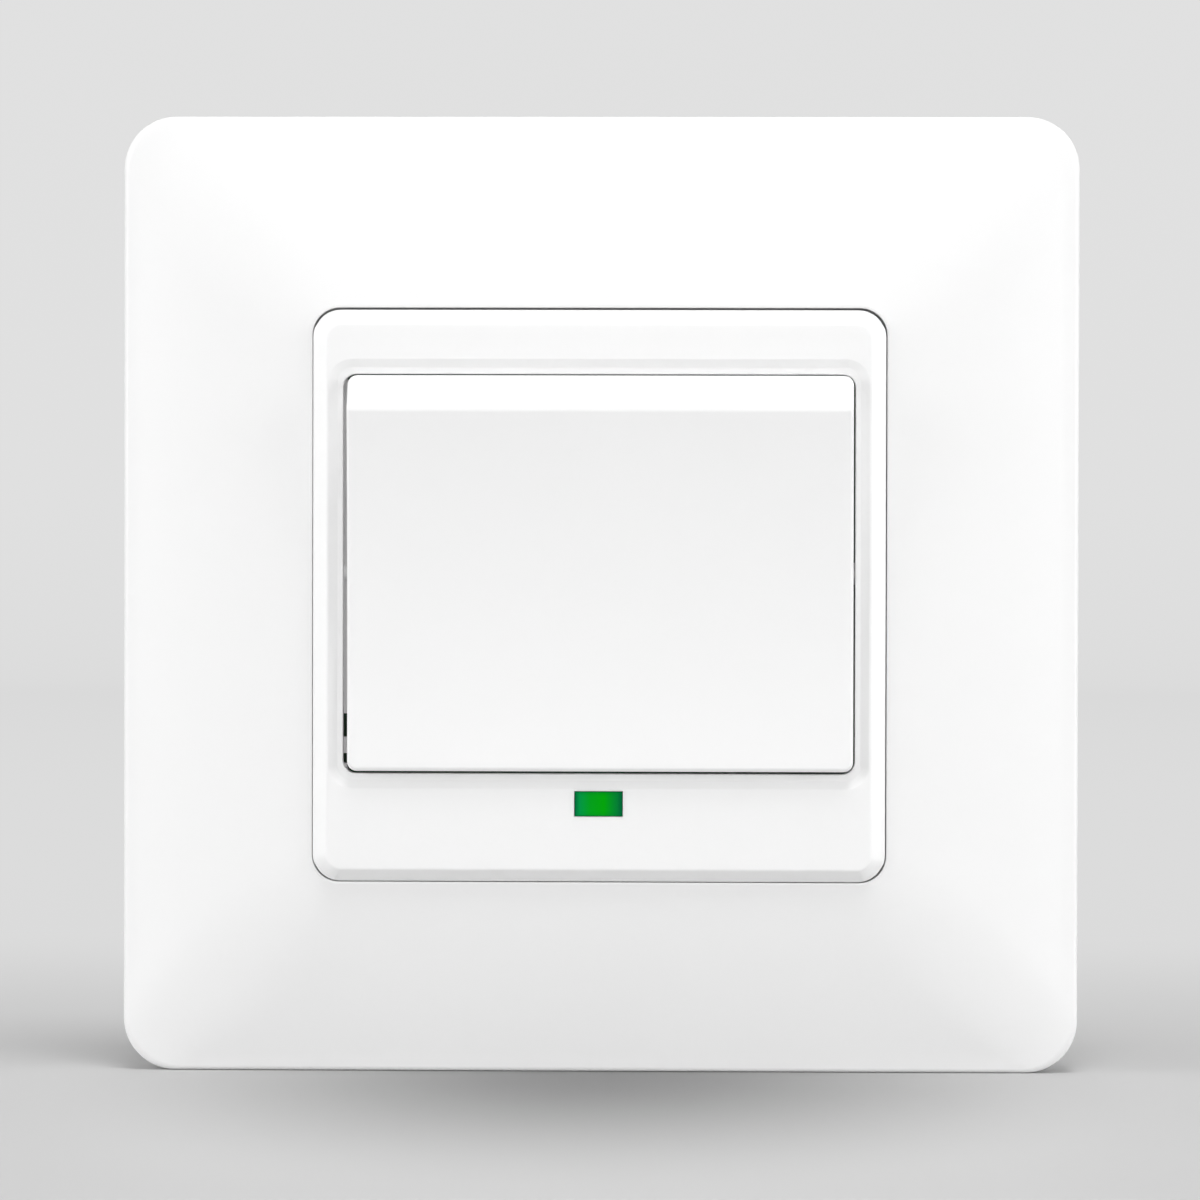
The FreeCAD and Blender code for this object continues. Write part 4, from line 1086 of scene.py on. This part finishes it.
def floor_grey(tree, parts, seen):
    """A painted shadow, darker in an oval round the object, for what sees the sheet; one lighter grey for
    the rest.
    """
    wide = maths(tree, "DIVIDE", parts.outputs[0], REACH_WIDE)
    deep = maths(tree, "DIVIDE", maths(tree, "ADD", parts.outputs[1], MIDDLE_BACK), REACH_DEEP)
    squares = maths(tree, "ADD", maths(tree, "MULTIPLY", wide, wide), maths(tree, "MULTIPLY", deep, deep))
    # The painted shadow: darkest under the object, fading out to the plain sheet grey.
    reach = smooth_step(tree, maths(tree, "SQRT", squares), 0.0, SHADE_END)
    sheet_grey_with_painted_shadow = mixed_colour(tree, reach, plain_grey(SHADE_GREY), plain_grey(SHEET_GREY))
    return mixed_colour(tree, seen, plain_grey(BOUNCE_GREY), sheet_grey_with_painted_shadow)


def backdrop_grey(tree, parts):
    """The backdrop's own grey, which changes a little from the floor up."""
    ramp = tree.nodes.new("ShaderNodeValToRGB")
    set_stops(ramp, [(position, plain_grey(value)) for position, value in BACKDROP_GREYS])
    tree.links.new(maths(tree, "DIVIDE", parts.outputs[1], BACKDROP_LENGTH), ramp.inputs[0])
    return ramp.outputs[0]


def sheet_material():
    """Matt grey with a painted shadow near the object, plain backdrop grey far behind it."""
    material = bpy.data.materials.new("studio_sheet")
    material.use_nodes = True
    tree = material.node_tree
    matt = tree.nodes["Principled BSDF"]
    matt.inputs["Roughness"].default_value = 0.5
    matt.inputs["Specular IOR Level"].default_value = 0.15
    place = tree.nodes.new("ShaderNodeTexCoord").outputs["Object"]
    parts = tree.nodes.new("ShaderNodeSeparateXYZ")
    tree.links.new(place, parts.inputs[0])
    rays = tree.nodes.new("ShaderNodeLightPath").outputs
    seen = maths(tree, "MAXIMUM", rays["Is Camera Ray"], rays["Is Glossy Ray"])
    tree.links.new(floor_grey(tree, parts, seen), matt.inputs["Base Color"])
    plain = tree.nodes.new("ShaderNodeEmission")
    tree.links.new(backdrop_grey(tree, parts), plain.inputs["Color"])
    far = smooth_step(tree, parts.outputs[1], BACKDROP_FROM, BACKDROP_FULL)
    mixed = tree.nodes.new("ShaderNodeMixShader")
    tree.links.new(maths(tree, "MULTIPLY", far, seen), mixed.inputs[0])
    tree.links.new(matt.outputs[0], mixed.inputs[1])
    tree.links.new(plain.outputs[0], mixed.inputs[2])
    tree.links.new(mixed.outputs[0], tree.nodes["Material Output"].inputs["Surface"])
    return material


sheet_finish = sheet_material()
print("sheet material nodes:", len(sheet_finish.node_tree.nodes))

# %% Studio sheet
def studio_sheet():
    """A floor that runs back, curves up and ends as a wall."""
    floor_z, floor_front, half_width, wall_top = -0.043, -2.5, 4.0, 3.0
    bend_start, bend_radius, bend_steps = 1.2, 0.8, 24
    line = [(floor_front, floor_z), (bend_start, floor_z)]
    for index in range(1, bend_steps + 1):
        angle = math.radians(90 * index / bend_steps)
        y = bend_start + bend_radius * math.sin(angle)
        line.append((y, floor_z + bend_radius * (1 - math.cos(angle))))
    line.append((bend_start + bend_radius, wall_top))
    work = bmesh.new()
    rows = [[work.verts.new((x, y, z)) for y, z in line] for x in (-half_width, half_width)]
    for index in range(len(line) - 1):
        work.faces.new((rows[0][index], rows[1][index], rows[1][index + 1], rows[0][index + 1]))
    for face in work.faces:
        face.smooth = True
    mesh = bpy.data.meshes.new("studio_sheet")
    work.to_mesh(mesh)
    work.free()
    sheet = new_object("studio_sheet", mesh)
    sheet.data.materials.append(sheet_finish)
    return sheet


sheet = studio_sheet()
print("sheet faces:", len(sheet.data.polygons))

# %% [markdown]
# ## Soft light
# A box above, a little in front and smaller than the others, gives the plastic its fall from the
# top side to the bottom side. Two larger boxes stand left and right and graze the face, one weak
# box stands in front and one behind, and an even grey world fills the rest. One large box would be
# simpler, but a frame with four tilted sides shows where each light comes from, so each side has
# its own. What faces the camera comes out below full white, what leans to the top box at full white.

# %% Lights and world
def soft_box(name, place, size, power):
    """A square area light that looks at the object."""
    data = bpy.data.lights.new(name, "AREA")
    data.size = size
    data.energy = power
    box = bpy.data.objects.new(name, data)
    bpy.context.scene.collection.objects.link(box)
    box.location = place
    box.rotation_mode = "QUATERNION"
    box.rotation_quaternion = (-Vector(place)).to_track_quat("-Z", "Y")
    return box


WORLD_STRENGTH = 0.255
soft_box("key_above", (0.08, -0.33, 0.86), 0.34, 4.05)
soft_box("front", (0.05, -0.95, 0.20), 0.6, 2.05)
soft_box("side_right", (0.85, -0.30, 0.10), 0.6, 5.65)
soft_box("side_left", (-0.85, -0.30, 0.10), 0.6, 5.8)
soft_box("back_above", (0.0, 0.30, 0.85), 0.5, 1.55)
world = bpy.data.worlds.new("studio_world")
bpy.context.scene.world = world
world.use_nodes = True
background = world.node_tree.nodes["Background"]
background.inputs["Color"].default_value = (1.0, 1.0, 1.0, 1)
background.inputs["Strength"].default_value = WORLD_STRENGTH
bpy.context.scene.view_settings.view_transform = "Standard"
print("lamps:", [light.name for light in bpy.data.lights])
